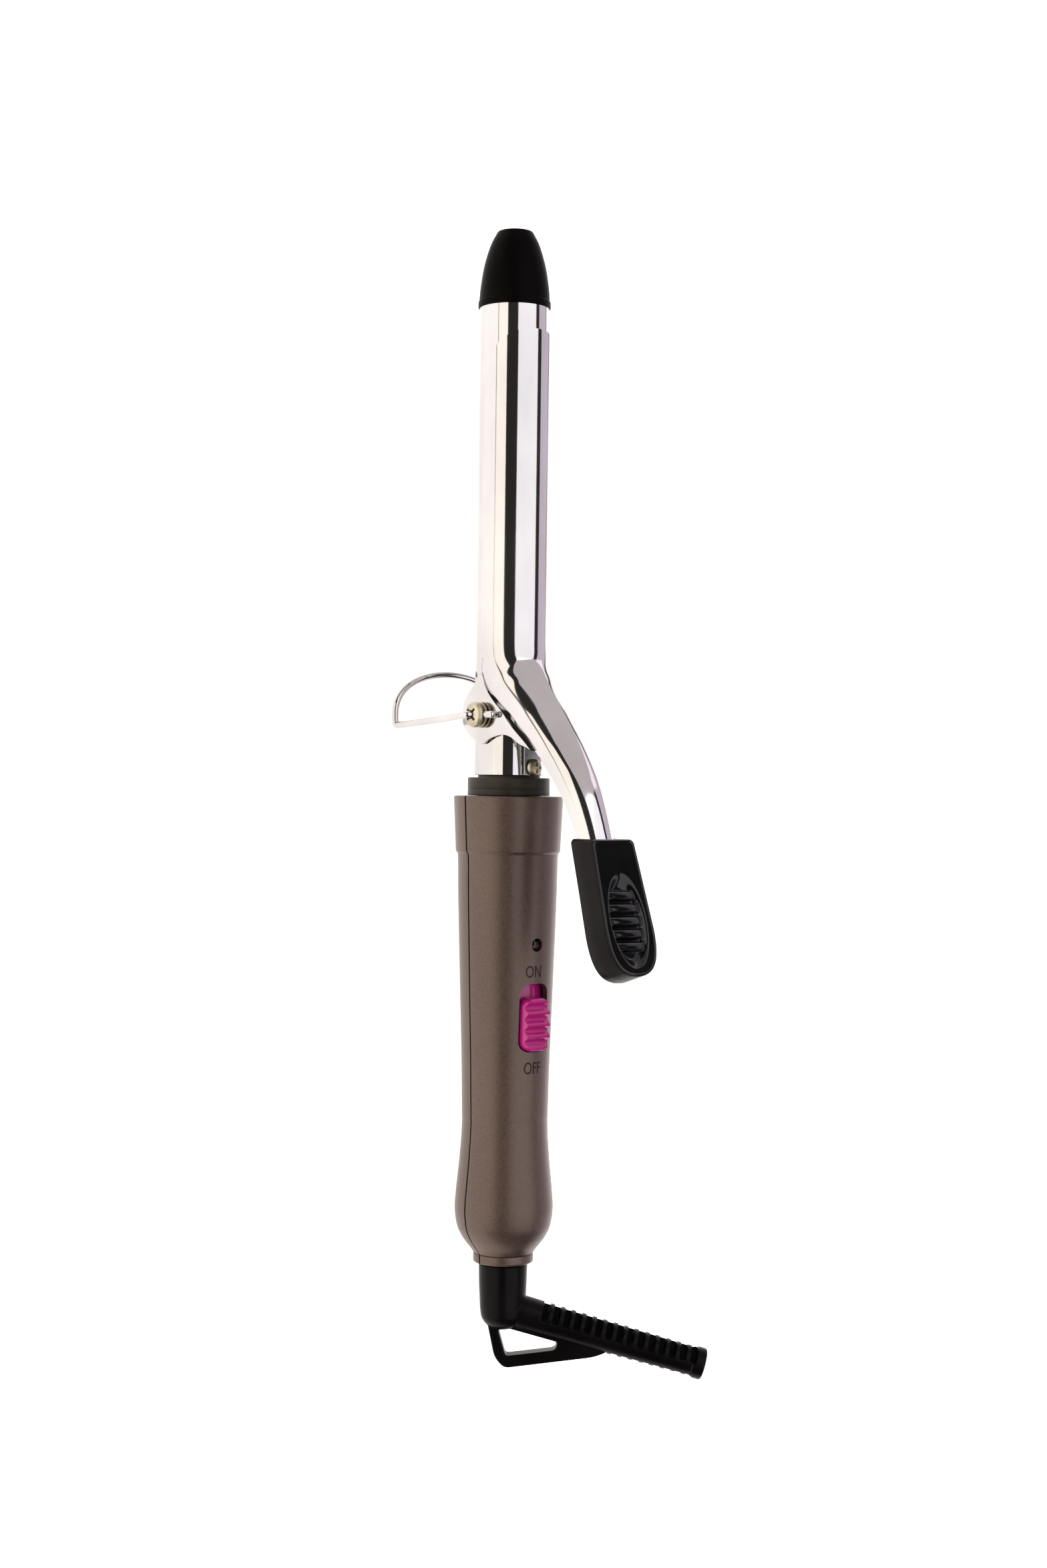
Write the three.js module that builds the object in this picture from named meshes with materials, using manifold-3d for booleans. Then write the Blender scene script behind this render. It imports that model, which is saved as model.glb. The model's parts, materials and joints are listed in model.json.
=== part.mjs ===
// Curling iron with a spring-closed clamp, a folding wire stand and a swivel cord outlet.
// Units are millimetres. Inside the iron group +Y runs along the barrel to the tip, +Z is the side
// of the thumb lever and the switch, and y = 0 is the clamp's pivot. The iron group is tipped up by
// REST_TILT, so the object rests on its wire stand and on the bulb of its handle with +Z up.
import * as THREE from 'three';
import { mergeVertices } from 'three/addons/utils/BufferGeometryUtils.js';
import Module from 'manifold-3d';

const wasm = await Module();
wasm.setup();

// Driving dimensions
const GAP = 0.3;
const BARREL_R = 9.5;
const BARREL_WALL = 0.7;
const BARREL_TIP = 111;
const BARREL_REAR = -16.2;
const CAP_TOP = 132.1;
const CAP_LIP_R = 9.9;
const COLLAR_R = 11.2;
const COLLAR_FRONT = -16.8;
const HANDLE_FRONT = -21.8;
const HANDLE_STEP = -37.2;
const HANDLE_TAIL = -146;
const SHELL_WALL = 1.8;
const BUSHING_R = 8.5;
const PIVOT_Z = 0.8;
const CLAMP_R = 10.45;
const SHEET = 0.7;
const CLAMP_PEAK = 104.2;
const TONGUE_STRAIGHT = 93.2;
const CLAMP_COVER = 76;
const EAR_X = 10.6;
const WIRE_R = 0.95;
const LEG = 27;
const FOOT_HALF_WIDTH = 19.5;
const FOOT_REACH = 14.9;
const SLOT_FRONT = -72.1;
const SLOT_LENGTH = 18.4;
const SLOT_WIDTH = 9.5;
const SLIDER_LENGTH = 14.4;
const SLIDER_WIDTH = 8.3;
const SLIDER_TRAVEL = 3.4;
const LAMP_Y = -61.7;
const LAMP_HOLE_R = 1.8;
const SPRING_SCREW_Y = -14.1;
const THUMB_TOP = [-32.5, 43.35];
const THUMB_SLOPE = THREE.MathUtils.degToRad(17.5);
const THUMB_LENGTH = 36.2;
const RIB_PITCH = 3.37;
const RIB_MIDDLE = 21.5;
const THUMB_THICK = 8.8;
const RING_END = -148.7;
const RELIEF_TOP = -149;
const ELBOW_Y = -161.3;
const ARM_DROP = THREE.MathUtils.degToRad(15.2);
const ARM_LENGTH = 57;
const ARM_AZIMUTH = THREE.MathUtils.degToRad(39);
const LOOP_THICK = 4.8;
const SLOT_COUNT = 15;
const SLOT_START = 10.7;
const SLOT_PITCH = 2.99;
const SLOT_OPEN = 1.75;
const SLOT_TURN = THREE.MathUtils.degToRad(-55);
const BULB_R = 13.4;
const BULB_Y = -134;
const HANDLE_SCREWS = [-48, -118];
const LEAD_R = 0.9;

// The stand's foot and the handle's bulb touch the table together at this tilt.
const STAND_HEIGHT = LEG + WIRE_R;
const REST_TILT =
  Math.asin(STAND_HEIGHT / Math.hypot(BULB_Y, BULB_R + PIVOT_Z)) - Math.atan2(BULB_R + PIVOT_Z, -BULB_Y);

// Finishes
function finish(color, roughness, metalness) {
  return new THREE.MeshStandardMaterial({ color, roughness, metalness });
}
const chrome = finish(0xd8d8da, 0.08, 1);
const bronzePaint = finish(0x6f6459, 0.38, 0.35);
const collarPaint = finish(0x57503f, 0.42, 0.2);
const blackPlastic = finish(0x17171a, 0.5, 0);
const glossBlack = finish(0x101013, 0.18, 0);
const softVinyl = finish(0x1b1b1d, 0.55, 0);
const magenta = finish(0xc0257f, 0.42, 0);
const smokeLens = finish(0x2a1408, 0.12, 0);
const zinc = finish(0x8b836f, 0.35, 1);
const springSteel = finish(0x9a9a9c, 0.3, 1);
const brass = finish(0xb08d48, 0.35, 1);
const aluminium = finish(0xa9abad, 0.4, 1);
const ceramic = finish(0xe6e0d2, 0.7, 0);
const phenolic = finish(0x3a2a20, 0.6, 0);
const amber = finish(0xe07a20, 0.2, 0);
const boardGreen = finish(0x2f5b3a, 0.6, 0);
const redInsulation = finish(0x9c2c24, 0.6, 0);
const whiteInsulation = finish(0xdcd8cf, 0.6, 0);

// Geometry helpers
function closed(geometry) {
  const bare = geometry.clone();
  bare.deleteAttribute('normal');
  bare.deleteAttribute('uv');
  const merged = mergeVertices(bare, 1e-4);
  const source = merged.index.array;
  const index = [];
  for (let i = 0; i < source.length; i += 3) {
    const [a, b, c] = [source[i], source[i + 1], source[i + 2]];
    if (a !== b && b !== c && c !== a) index.push(a, b, c);
  }
  if (signedVolume(merged.attributes.position, index) < 0) index.reverse();
  merged.setIndex(index);
  return merged;
}

function signedVolume(position, index) {
  const [a, b, c] = [new THREE.Vector3(), new THREE.Vector3(), new THREE.Vector3()];
  let sum = 0;
  for (let i = 0; i < index.length; i += 3) {
    a.fromBufferAttribute(position, index[i]);
    b.fromBufferAttribute(position, index[i + 1]);
    c.fromBufferAttribute(position, index[i + 2]);
    sum += a.dot(b.cross(c));
  }
  return sum / 6;
}

function toSolid(geometry) {
  const shape = closed(geometry);
  const vertProperties = new Float32Array(shape.attributes.position.array);
  const triVerts = new Uint32Array(shape.index.array);
  return new wasm.Manifold(new wasm.Mesh({ numProp: 3, vertProperties, triVerts }));
}

function toGeometry(solid) {
  const { vertProperties, triVerts } = solid.getMesh();
  const geometry = new THREE.BufferGeometry();
  geometry.setAttribute('position', new THREE.BufferAttribute(vertProperties, 3));
  geometry.setIndex(new THREE.BufferAttribute(triVerts, 1));
  return geometry;
}

function join(first, ...others) {
  return toGeometry(others.reduce((solid, other) => solid.add(toSolid(other)), toSolid(first)));
}

function cut(first, ...others) {
  return toGeometry(others.reduce((solid, other) => solid.subtract(toSolid(other)), toSolid(first)));
}

function common(first, second) {
  return toGeometry(toSolid(first).intersect(toSolid(second)));
}

// A solid turned about Y from [radius, y] points, which start and end on the axis or close on themselves.
function turned(points, segments = 32) {
  return closed(new THREE.LatheGeometry(points.map(([r, y]) => new THREE.Vector2(r, y)), segments));
}

// The same, about X, with its outer end towards side (+1 or -1).
function turnedOut(points, side, segments = 14) {
  return turned(points, segments).rotateZ((-side * Math.PI) / 2);
}

function ring(outerR, innerR, low, high, segments = 32) {
  return turned([[innerR, low], [outerR, low], [outerR, high], [innerR, high], [innerR, low]], segments);
}

function rod(radius, from, to, segments = 14) {
  const start = new THREE.Vector3(...from);
  const span = new THREE.Vector3(...to).sub(start);
  const geometry = new THREE.CylinderGeometry(radius, radius, span.length(), segments);
  geometry.translate(0, span.length() / 2, 0);
  const turn = new THREE.Quaternion().setFromUnitVectors(new THREE.Vector3(0, 1, 0), span.normalize());
  geometry.applyQuaternion(turn);
  return closed(geometry.translate(...from));
}

function block(low, high) {
  const size = high.map((value, i) => value - low[i]);
  const middle = high.map((value, i) => (value + low[i]) / 2);
  return closed(new THREE.BoxGeometry(...size).translate(...middle));
}

function wire(radius, points, steps, sides = 8) {
  const outline = new THREE.Shape().absarc(0, 0, radius, 0, 2 * Math.PI);
  const path = new THREE.CatmullRomCurve3(points.map((p) => new THREE.Vector3(...p)), false, 'centripetal');
  const options = { steps, extrudePath: path, curveSegments: sides / 2 };
  return closed(new THREE.ExtrudeGeometry(outline, options));
}

// A flat outline of [y, z] points, extruded along X between two values.
function sideOutline(points, low, high) {
  const outline = new THREE.Shape(points.map(([y, z]) => new THREE.Vector2(y, z)));
  const geometry = new THREE.ExtrudeGeometry(outline, { depth: high - low, bevelEnabled: false });
  const basis = new THREE.Matrix4().set(0, 0, 1, low, 1, 0, 0, 0, 0, 1, 0, 0, 0, 0, 0, 1);
  return closed(geometry.applyMatrix4(basis));
}

function roundedRectangle(width, height, radius) {
  const [x, y] = [width / 2, height / 2];
  const shape = new THREE.Shape();
  shape.moveTo(-x + radius, -y).lineTo(x - radius, -y);
  shape.absarc(x - radius, -y + radius, radius, -Math.PI / 2, 0);
  shape.absarc(x - radius, y - radius, radius, 0, Math.PI / 2);
  shape.absarc(-x + radius, y - radius, radius, Math.PI / 2, Math.PI);
  shape.absarc(-x + radius, -y + radius, radius, Math.PI, 1.5 * Math.PI);
  return shape;
}

function lerpTable(table, at) {
  const next = table.findIndex(([y]) => y <= at);
  if (next <= 0) return table[next < 0 ? table.length - 1 : 0][1];
  const [[y0, v0], [y1, v1]] = [table[next - 1], table[next]];
  return v0 + ((v1 - v0) * (at - y0)) / (y1 - y0);
}

// Barrel, tip and collar
function barrelTube() {
  const tube = ring(BARREL_R, BARREL_R - BARREL_WALL, BARREL_REAR, BARREL_TIP, 36);
  const pivotHole = rod(1.8, [-12, 0, PIVOT_Z], [12, 0, PIVOT_Z]);
  const springHole = rod(1.5, [0, SPRING_SCREW_Y, 5], [0, SPRING_SCREW_Y, 12]);
  return cut(tube, pivotHole, springHole);
}

function tipCap() {
  const crown = new THREE.SplineCurve(
    [[5.2, CAP_TOP - 0.4], [6.75, 128.2], [8.3, 122.7], [9.25, 117.2], [9.6, 113.9]].map((p) => new THREE.Vector2(...p)),
  );
  const crownPoints = crown.getPoints(6).map((p) => [p.x, p.y]);
  const lip = BARREL_TIP + GAP;
  return turned([
    [0, CAP_TOP], [4.6, CAP_TOP], ...crownPoints, [CAP_LIP_R - 0.1, 112.6], [CAP_LIP_R, 112.2], [CAP_LIP_R, lip],
    [8.4, lip], [8.4, 101], [6.6, 101], [6.6, 114], [0, 114],
  ]);
}

function heatCollar() {
  const low = HANDLE_FRONT + GAP;
  return turned([
    [8.8, COLLAR_FRONT], [COLLAR_R - 0.3, COLLAR_FRONT], [COLLAR_R, COLLAR_FRONT - 0.3], [COLLAR_R, low],
    [8.8, low], [8.8, COLLAR_FRONT],
  ]);
}

function barrelBushing() {
  const body = turned([
    [5.2, -6], [BUSHING_R, -6], [BUSHING_R, -25], [11.4, -25], [11.4, -28], [BUSHING_R, -28], [BUSHING_R, -38],
    [5.2, -38], [5.2, -6],
  ], 24);
  return cut(body, rod(1.5, [0, SPRING_SCREW_Y, 4], [0, SPRING_SCREW_Y, 12]));
}

// Handle shells
function handleOutline() {
  const grip = new THREE.SplineCurve(
    [[13.7, HANDLE_STEP - 0.5], [12.3, -83.7], [11.6, -110], [12.4, -122], [BULB_R, BULB_Y]].map(
      (p) => new THREE.Vector2(...p),
    ),
  );
  const tail = [[12.8, -138.5], [11.65, -141.2], [10.45, -143], [9, -144.8], [8.2, HANDLE_TAIL]];
  return [
    [14.6, HANDLE_FRONT], [14.95, HANDLE_FRONT - 0.35], [14.2, HANDLE_STEP + 0.6], [13.8, HANDLE_STEP],
    ...grip.getPoints(10).map((p) => [p.x, p.y]),
    ...tail,
  ];
}

function handleRing() {
  const outer = handleOutline();
  const [frontInside, tailInside] = [HANDLE_FRONT - 2, HANDLE_TAIL + SHELL_WALL];
  const inner = outer
    .filter(([, y], i) => y < frontInside && y > tailInside && i % 3 === 0)
    .map(([r, y]) => [r - SHELL_WALL, y])
    .reverse();
  const frontR = inner[inner.length - 1][0];
  return turned([
    [9, HANDLE_FRONT], ...outer, [6.9, HANDLE_TAIL], [6.9, tailInside], [7.9, tailInside], ...inner,
    [frontR, frontInside], [9, frontInside], [9, HANDLE_FRONT],
  ]);
}

function halfShell(side) {
  const low = side > 0 ? [-20, -160, GAP / 2] : [-20, -160, -20];
  const high = side > 0 ? [20, 0, 20] : [20, 0, -GAP / 2];
  const half = common(handleRing(), block(low, high));
  const outline = handleOutline().map(([r, y]) => [y, r]);
  const bosses = HANDLE_SCREWS.map((y) => {
    const reach = lerpTable(outline, y) - SHELL_WALL / 2;
    return rod(3.8, [0, y, (side * GAP) / 2], [0, y, side * reach]);
  });
  return join(half, ...bosses);
}

function switchSlot(width, length, low, high) {
  const slot = new THREE.ExtrudeGeometry(roundedRectangle(width, length, 3), {
    depth: high - low, bevelEnabled: false, curveSegments: 4,
  });
  return closed(slot.translate(0, SLOT_FRONT - SLOT_LENGTH / 2, low));
}

function handleFrontShell() {
  const pilots = HANDLE_SCREWS.map((y) => rod(1.55, [0, y, -1], [0, y, 8]));
  const lampHole = rod(LAMP_HOLE_R, [0, LAMP_Y, 5], [0, LAMP_Y, 20], 24);
  return cut(halfShell(1), switchSlot(SLOT_WIDTH, SLOT_LENGTH, 5, 20), lampHole, ...pilots);
}

function handleRearShell() {
  const shanks = HANDLE_SCREWS.map((y) => rod(1.55, [0, y, 1], [0, y, -20]));
  const recesses = HANDLE_SCREWS.map((y) => rod(3, [0, y, -8.5], [0, y, -20], 24));
  return cut(halfShell(-1), ...shanks, ...recesses);
}

function handleScrew(y) {
  const profile = [[0, 7], [1.25, 7], [1.25, -8.8], [2.7, -8.8], [2.7, -10], [1.9, -10.7], [0, -10.9]];
  const screw = turned(profile, 12).rotateX(Math.PI / 2).translate(0, y, 0);
  const slots = [
    block([-2, y - 0.35, -12], [2, y + 0.35, -10.1]),
    block([-0.35, y - 2, -12], [0.35, y + 2, -10.1]),
  ];
  return cut(screw, ...slots);
}

function tailRing() {
  return turned([
    [5.3, RING_END], [7.7, RING_END], [8.2, RING_END + 0.5], [8.2, HANDLE_TAIL - GAP],
    [6.5, HANDLE_TAIL - GAP], [6.5, -143.9], [7.4, -143.9], [7.4, -142.4], [5.3, -142.4], [5.3, RING_END],
  ]);
}

// Heater inside the barrel
function heatSpreader(side) {
  const [radius, flat] = [8.4, 1.4];
  const start = Math.asin(flat / radius);
  const section = new THREE.Shape().absarc(0, 0, radius, start, Math.PI - start);
  const bar = new THREE.ExtrudeGeometry(section, { depth: 76, bevelEnabled: false, curveSegments: 16 });
  bar.rotateX(Math.PI / 2).translate(0, 98, 0);
  return closed(side > 0 ? bar.rotateY(Math.PI) : bar);
}

function thermalFuse() {
  const profile = [[0, 4], [0.4, 4], [0.4, 7], [1.8, 7.4], [1.8, 16.6], [0.4, 17], [0.4, 21], [0, 21]];
  return turned(profile, 16).translate(0, 0, 5);
}

function liveLead() {
  const route = [
    [3.2, -76.2, -1.4], [5.2, -68, -2.5], [5.8, -50, -2], [5.2, -43.5, 0.6], [2.3, -39, 2.8], [0.5, -33, 3.5],
    [0, -10, 3.6], [0, -5.5, 4], [0, 0, 6], [0, 3.3, 5.3],
  ];
  return wire(LEAD_R, route, 26, 6);
}

function neutralLead() {
  const route = [
    [-7.2, -118, 0], [-6.4, -100, -3], [-5.8, -52, -2.5], [-5.2, -43.5, -1], [-2.3, -39, -2.8], [-0.5, -33, -3.6],
    [0, -8, -3.7], [0, 0, -5.2], [0, 20.5, -5],
  ];
  return wire(LEAD_R, route, 30, 6);
}

function feedLead() {
  return wire(LEAD_R, [[7.2, -118, 0], [6.4, -104, -2], [4.2, -94, -2.6], [3.2, -89.5, -1.4]], 12, 6);
}

// Switch and indicator
function switchSlider() {
  const rear = SLOT_FRONT - SLOT_LENGTH + GAP / 2 + 0.1;
  const front = rear + SLIDER_LENGTH;
  const middle = (front + rear) / 2;
  const plate = common(ring(10.1, 9.1, rear - 3.4, front + 6.6, 48), block([-5.6, -120, 5], [5.6, -40, 20]));
  const outline = roundedRectangle(SLIDER_WIDTH, SLIDER_LENGTH, 2.7);
  const button = new THREE.ExtrudeGeometry(outline, { depth: 3.7, bevelEnabled: false, curveSegments: 4 });
  button.translate(0, middle, 9.4);
  const ridges = [-2, -1, 0, 1, 2].map((step) => {
    const [y, height] = [middle + step * 3.12, Math.abs(step) < 2 ? 13.2 : 12.9];
    const half = SLIDER_WIDTH / 2 - (Math.abs(step) < 2 ? 0.1 : 1.2);
    return rod(0.85, [-half, y, height], [half, y, height], 10);
  });
  return join(plate, button, ...ridges);
}

function switchBody() {
  const box = block([-4.2, -90, 2.2], [4.2, -73, 8]);
  return join(box, block([-4.2, -94, 2.2], [4.2, -69, 3.2]));
}

function indicatorLens() {
  return turned([[0, 9.4], [2.6, 9.4], [2.6, 10.4], [1.5, 10.4], [1.5, 12], [1.1, 12.4], [0, 12.5]], 24)
    .rotateX(Math.PI / 2)
    .translate(0, LAMP_Y, 0);
}

function indicatorLamp() {
  const bulb = turned([[0, 4.1], [1.5, 4.1], [1.5, 7.4], [1, 8.4], [0, 8.8]], 16);
  return bulb.rotateX(Math.PI / 2).translate(0, LAMP_Y, 0);
}

// Clamp: one formed sheet, from the tongue over the barrel to the lever and its two pivot ears
const LEVER_TOP = [
  [CLAMP_PEAK, CLAMP_R], [20, CLAMP_R - 0.1], [16.6, 10.6], [10, 14], [0.6, 21.9], [-8, 28.7], [-16.5, 34.2],
  [-23.5, 37.5], [-31.4, 40.4], [-34, 41.2],
];
const LEVER_WIDTH = [
  [CLAMP_PEAK, CLAMP_R], [40, CLAMP_R], [16.6, 10.4], [10, 10.2], [0.6, 8.8], [-8, 7.8], [-16.5, 6.8], [-23.5, 5.95],
  [-31.4, 5.3], [-34, 5.2],
];
const EAR_CREASE = [[17, 1], [11, 1], [5.2, 6.9], [-1.8, 12.1], [-6.6, 17.3], [-9.5, 20.5], [-11, 22]];

function clampStations() {
  const tongue = [];
  for (let i = 0; i < 7; i += 1) {
    const share = Math.max(i / 7, 0.05);
    tongue.push(TONGUE_STRAIGHT + (CLAMP_PEAK - TONGUE_STRAIGHT) * Math.sqrt(1 - share * share));
  }
  const plain = [TONGUE_STRAIGHT, 56, 30, 18.5];
  const bend = [16.6, 13.5, 10, 7.5, 5.2, 2.6, 0.6, -1.8, -4.2, -6.6, -8, -9.5, -11, -13, -16.5, -20, -23.5, -28, -34];
  return [...tongue, ...plain, ...bend];
}

// Half the cover angle at a station, in degrees from the top of the sheet.
function coverAt(y) {
  if (y > TONGUE_STRAIGHT) {
    const reach = (y - TONGUE_STRAIGHT) / (CLAMP_PEAK - TONGUE_STRAIGHT);
    return CLAMP_COVER * Math.sqrt(1 - reach * reach);
  }
  return y > 16 ? THREE.MathUtils.lerp(84, CLAMP_COVER, THREE.MathUtils.clamp((y - 16) / 40, 0, 1)) : 90;
}

// The sheet's section at a station: [x, z] points from its left edge over the top to its right edge.
function clampSection(y, inset) {
  const slope = (lerpTable(LEVER_TOP, y - 1) - lerpTable(LEVER_TOP, y + 1)) / 2;
  const rise = Math.hypot(1, slope);
  const halfWidth = lerpTable(LEVER_WIDTH, y) - inset;
  const top = lerpTable(LEVER_TOP, y) - inset * rise;
  const depth = y > 16 ? halfWidth : halfWidth * rise;
  const cover = THREE.MathUtils.degToRad(coverAt(y));
  const isEar = y < 16 && y > -11.5;
  const at = (angle) => [halfWidth * Math.sin(angle), top - depth * (1 - Math.cos(angle))];
  const arch = [];
  for (let i = -7; i <= 7; i += 1) arch.push(at((cover * i) / 7));
  const endZ = arch[arch.length - 1][1];
  const earX = EAR_X - inset;
  const crease = Math.min(lerpTable(EAR_CREASE, y), endZ - 0.1);
  const skirt = isEar ? [[earX, crease], [earX, -8]] : [at(cover + 0.025), at(cover + 0.05)];
  const mirrored = skirt.map(([x, z]) => [-x, z]).reverse();
  return [...mirrored, ...arch, ...skirt];
}

function clampSheet() {
  const stations = clampStations();
  const rings = stations.map((y) => {
    const loop = [...clampSection(y, 0), ...clampSection(y, SHEET).reverse()];
    return loop.map(([x, z]) => [x, y, z]);
  });
  return loft(rings);
}

function loft(rings) {
  const count = rings[0].length;
  const index = [];
  for (let r = 0; r + 1 < rings.length; r += 1) {
    for (let i = 0; i < count; i += 1) {
      const [a, b] = [r * count + i, r * count + ((i + 1) % count)];
      index.push(a, b, b + count, a, b + count, a + count);
    }
  }
  const half = count / 2;
  for (const base of [0, (rings.length - 1) * count]) {
    for (let i = 0; i + 1 < half; i += 1) {
      const [a, b, c, d] = [base + i, base + i + 1, base + count - 2 - i, base + count - 1 - i];
      if (base === 0) index.push(a, d, c, a, c, b);
      else index.push(a, b, c, a, c, d);
    }
  }
  const geometry = new THREE.BufferGeometry();
  geometry.setAttribute('position', new THREE.Float32BufferAttribute(rings.flat(2), 3));
  geometry.setIndex(index);
  return closed(geometry);
}

function clamp() {
  const profile = sideOutline(
    [
      [125, -0.6], [11.5, -0.4], [8.7, -2], [6.6, -4.3], [3.6, -6.6], [0.5, -7.4], [-3, -6.6], [-6, -3.4], [-7.85, 1.2],
      [-6.2, 5], [-5.4, 9.5], [-6, 13], [-7.9, 16.2], [-9.85, 20.6], [-14.7, 24.3], [-45, 28], [-45, 60], [125, 60],
    ],
    -20,
    20,
  );
  const pivotHole = rod(1.8, [-20, 0, PIVOT_Z], [20, 0, PIVOT_Z]);
  const tang = block([-3.4, -44, 38.2], [3.4, -32.6, 39.4]);
  return cut(join(common(clampSheet(), profile), tang), pivotHole);
}

// Thumb rest, on the lever's tang
function thumbFrame() {
  const along = new THREE.Vector3(0, -Math.cos(THUMB_SLOPE), Math.sin(THUMB_SLOPE));
  const down = new THREE.Vector3(0, -Math.sin(THUMB_SLOPE), -Math.cos(THUMB_SLOPE));
  const frame = new THREE.Matrix4().makeBasis(new THREE.Vector3(1, 0, 0), along, down);
  return frame.setPosition(0, ...THUMB_TOP);
}

// Slants the pad's front end so that it stands square to the barrel.
function squareEnd(pad) {
  const { position } = pad.attributes;
  for (let i = 0; i < position.count; i += 1) {
    const fade = THREE.MathUtils.clamp(1 - position.getY(i) / 13, 0, 1);
    position.setY(i, position.getY(i) - position.getZ(i) * Math.tan(THUMB_SLOPE) * fade);
  }
}

function thumbRest() {
  const outline = new THREE.Shape();
  outline.moveTo(-6.4, 0).lineTo(6.4, 0).lineTo(7.2, 0.8).lineTo(8.3, THUMB_LENGTH - 12);
  outline.bezierCurveTo(8.3, THUMB_LENGTH - 2, 4.5, THUMB_LENGTH, 0, THUMB_LENGTH);
  outline.bezierCurveTo(-4.5, THUMB_LENGTH, -8.3, THUMB_LENGTH - 2, -8.3, THUMB_LENGTH - 12);
  outline.lineTo(-7.2, 0.8).lineTo(-6.4, 0);
  const pad = new THREE.ExtrudeGeometry(outline, { depth: THUMB_THICK, bevelEnabled: false, curveSegments: 8 });
  squareEnd(pad);
  const recessShape = new THREE.Shape().absellipse(0, RIB_MIDDLE, 6.2, 12.8, 0, 2 * Math.PI);
  const recess = new THREE.ExtrudeGeometry(recessShape, { depth: 2.2, bevelEnabled: false, curveSegments: 12 });
  const hollow = cut(pad, recess.translate(0, 0, -1));
  const ribs = [-2, -1, 0, 1, 2].map((step) => {
    const half = 6.2 * Math.sqrt(1 - (step * RIB_PITCH / 12.8) ** 2) + 0.2;
    const v = RIB_MIDDLE + step * RIB_PITCH;
    return rod(0.8, [-half, v, 0.9], [half, v, 0.9], 10);
  });
  const pad3d = join(hollow, ...ribs).applyMatrix4(thumbFrame());
  return cut(pad3d, block([-3.7, -44.4, 37.9], [3.7, -20, 39.7]), block([-6.2, -34.4, 30], [6.2, -20, 42]));
}

// Pivot, spring and stand
function pivotScrew(side) {
  return turnedOut(
    [
      [0, 5.6], [1.5, 5.6], [1.5, 11.8], [2.2, 11.8], [2.2, 12.4], [3.45, 12.4], [3.45, 13], [3, 13.7], [2.2, 14.05],
      [1.4, 14.1], [1.4, 12.8], [0, 12.8],
    ],
    side,
  ).translate(0, 0, PIVOT_Z);
}

// Washer with the short domed lug that stops the stand.
function pivotWasher(side) {
  const disc = ring(3.45, 1.8, 10.9, 11.5, 14).rotateZ((-side * Math.PI) / 2);
  const lug = turned([[0, 3.8], [WIRE_R, 3.8], [WIRE_R, 6.6], [0.6, 7.1], [0, 7.3]], 8).rotateX(Math.PI / 2);
  const [tabLow, tabHigh] = side > 0 ? [10.9, 11.5] : [-11.5, -10.9];
  const tab = block([tabLow, -0.9, 2.4], [tabHigh, 0.9, 4.4]);
  return join(disc, tab, lug.translate(side * 11.85, 0, 0)).translate(0, 0, PIVOT_Z);
}

function leafSpring() {
  const inside = [
    [-16, 9.85], [-8, 9.85], [-4.6, 11.2], [-3.4, 14], [-4.6, 17.5], [-9, 22.5], [-13.4, 27.6], [-15.2, 28.2],
  ];
  const outside = [
    [-16, 10.35], [-8.2, 10.35], [-5.1, 11.5], [-3.9, 14], [-5.1, 17.2], [-9.4, 22.1], [-13.6, 27], [-15.2, 27.7],
  ];
  const strip = sideOutline([...inside, ...outside.reverse()], -2.8, 2.8);
  return cut(strip, rod(1.5, [0, SPRING_SCREW_Y, 8], [0, SPRING_SCREW_Y, 12]));
}

function springScrew() {
  const profile = [[0, 6.2], [1.2, 6.2], [1.2, 10.65], [2.35, 10.65], [2.35, 11.4], [1.7, 12], [0, 12.2]];
  const screw = turned(profile, 12).rotateX(Math.PI / 2).translate(0, SPRING_SCREW_Y, 0);
  const y = SPRING_SCREW_Y;
  return cut(screw, block([-1.5, y - 0.3, 11.5], [1.5, y + 0.3, 13]), block([-0.3, y - 1.5, 11.5], [0.3, y + 1.5, 13]));
}

// The stand's wire, about the pivot, with its legs straight down and its foot flat.
function standBail() {
  const leg = (side) => [
    [side * 13.2, 0, 0], [side * 14.5, 0, 0], [side * 15.15, 0, -0.4], [side * 15.35, 0, -1.4], [side * 15.35, 0, -4],
    [side * 15.6, 0, -9.5], [side * 17.3, 0, -18], [side * 19.1, 0, -25.4], [side * 19.45, 0.25, -26.6],
  ];
  const foot = [];
  const turns = 14;
  for (let i = 0; i <= turns; i += 1) {
    const angle = Math.PI * (i / turns);
    const swell = 1.3 + (FOOT_REACH - 1.3) * Math.sin(angle) ** 0.8;
    foot.push([-FOOT_HALF_WIDTH * Math.cos(angle), swell, -LEG]);
  }
  return wire(WIRE_R, [...leg(-1), ...foot, ...leg(1).reverse()], 60);
}

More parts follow.
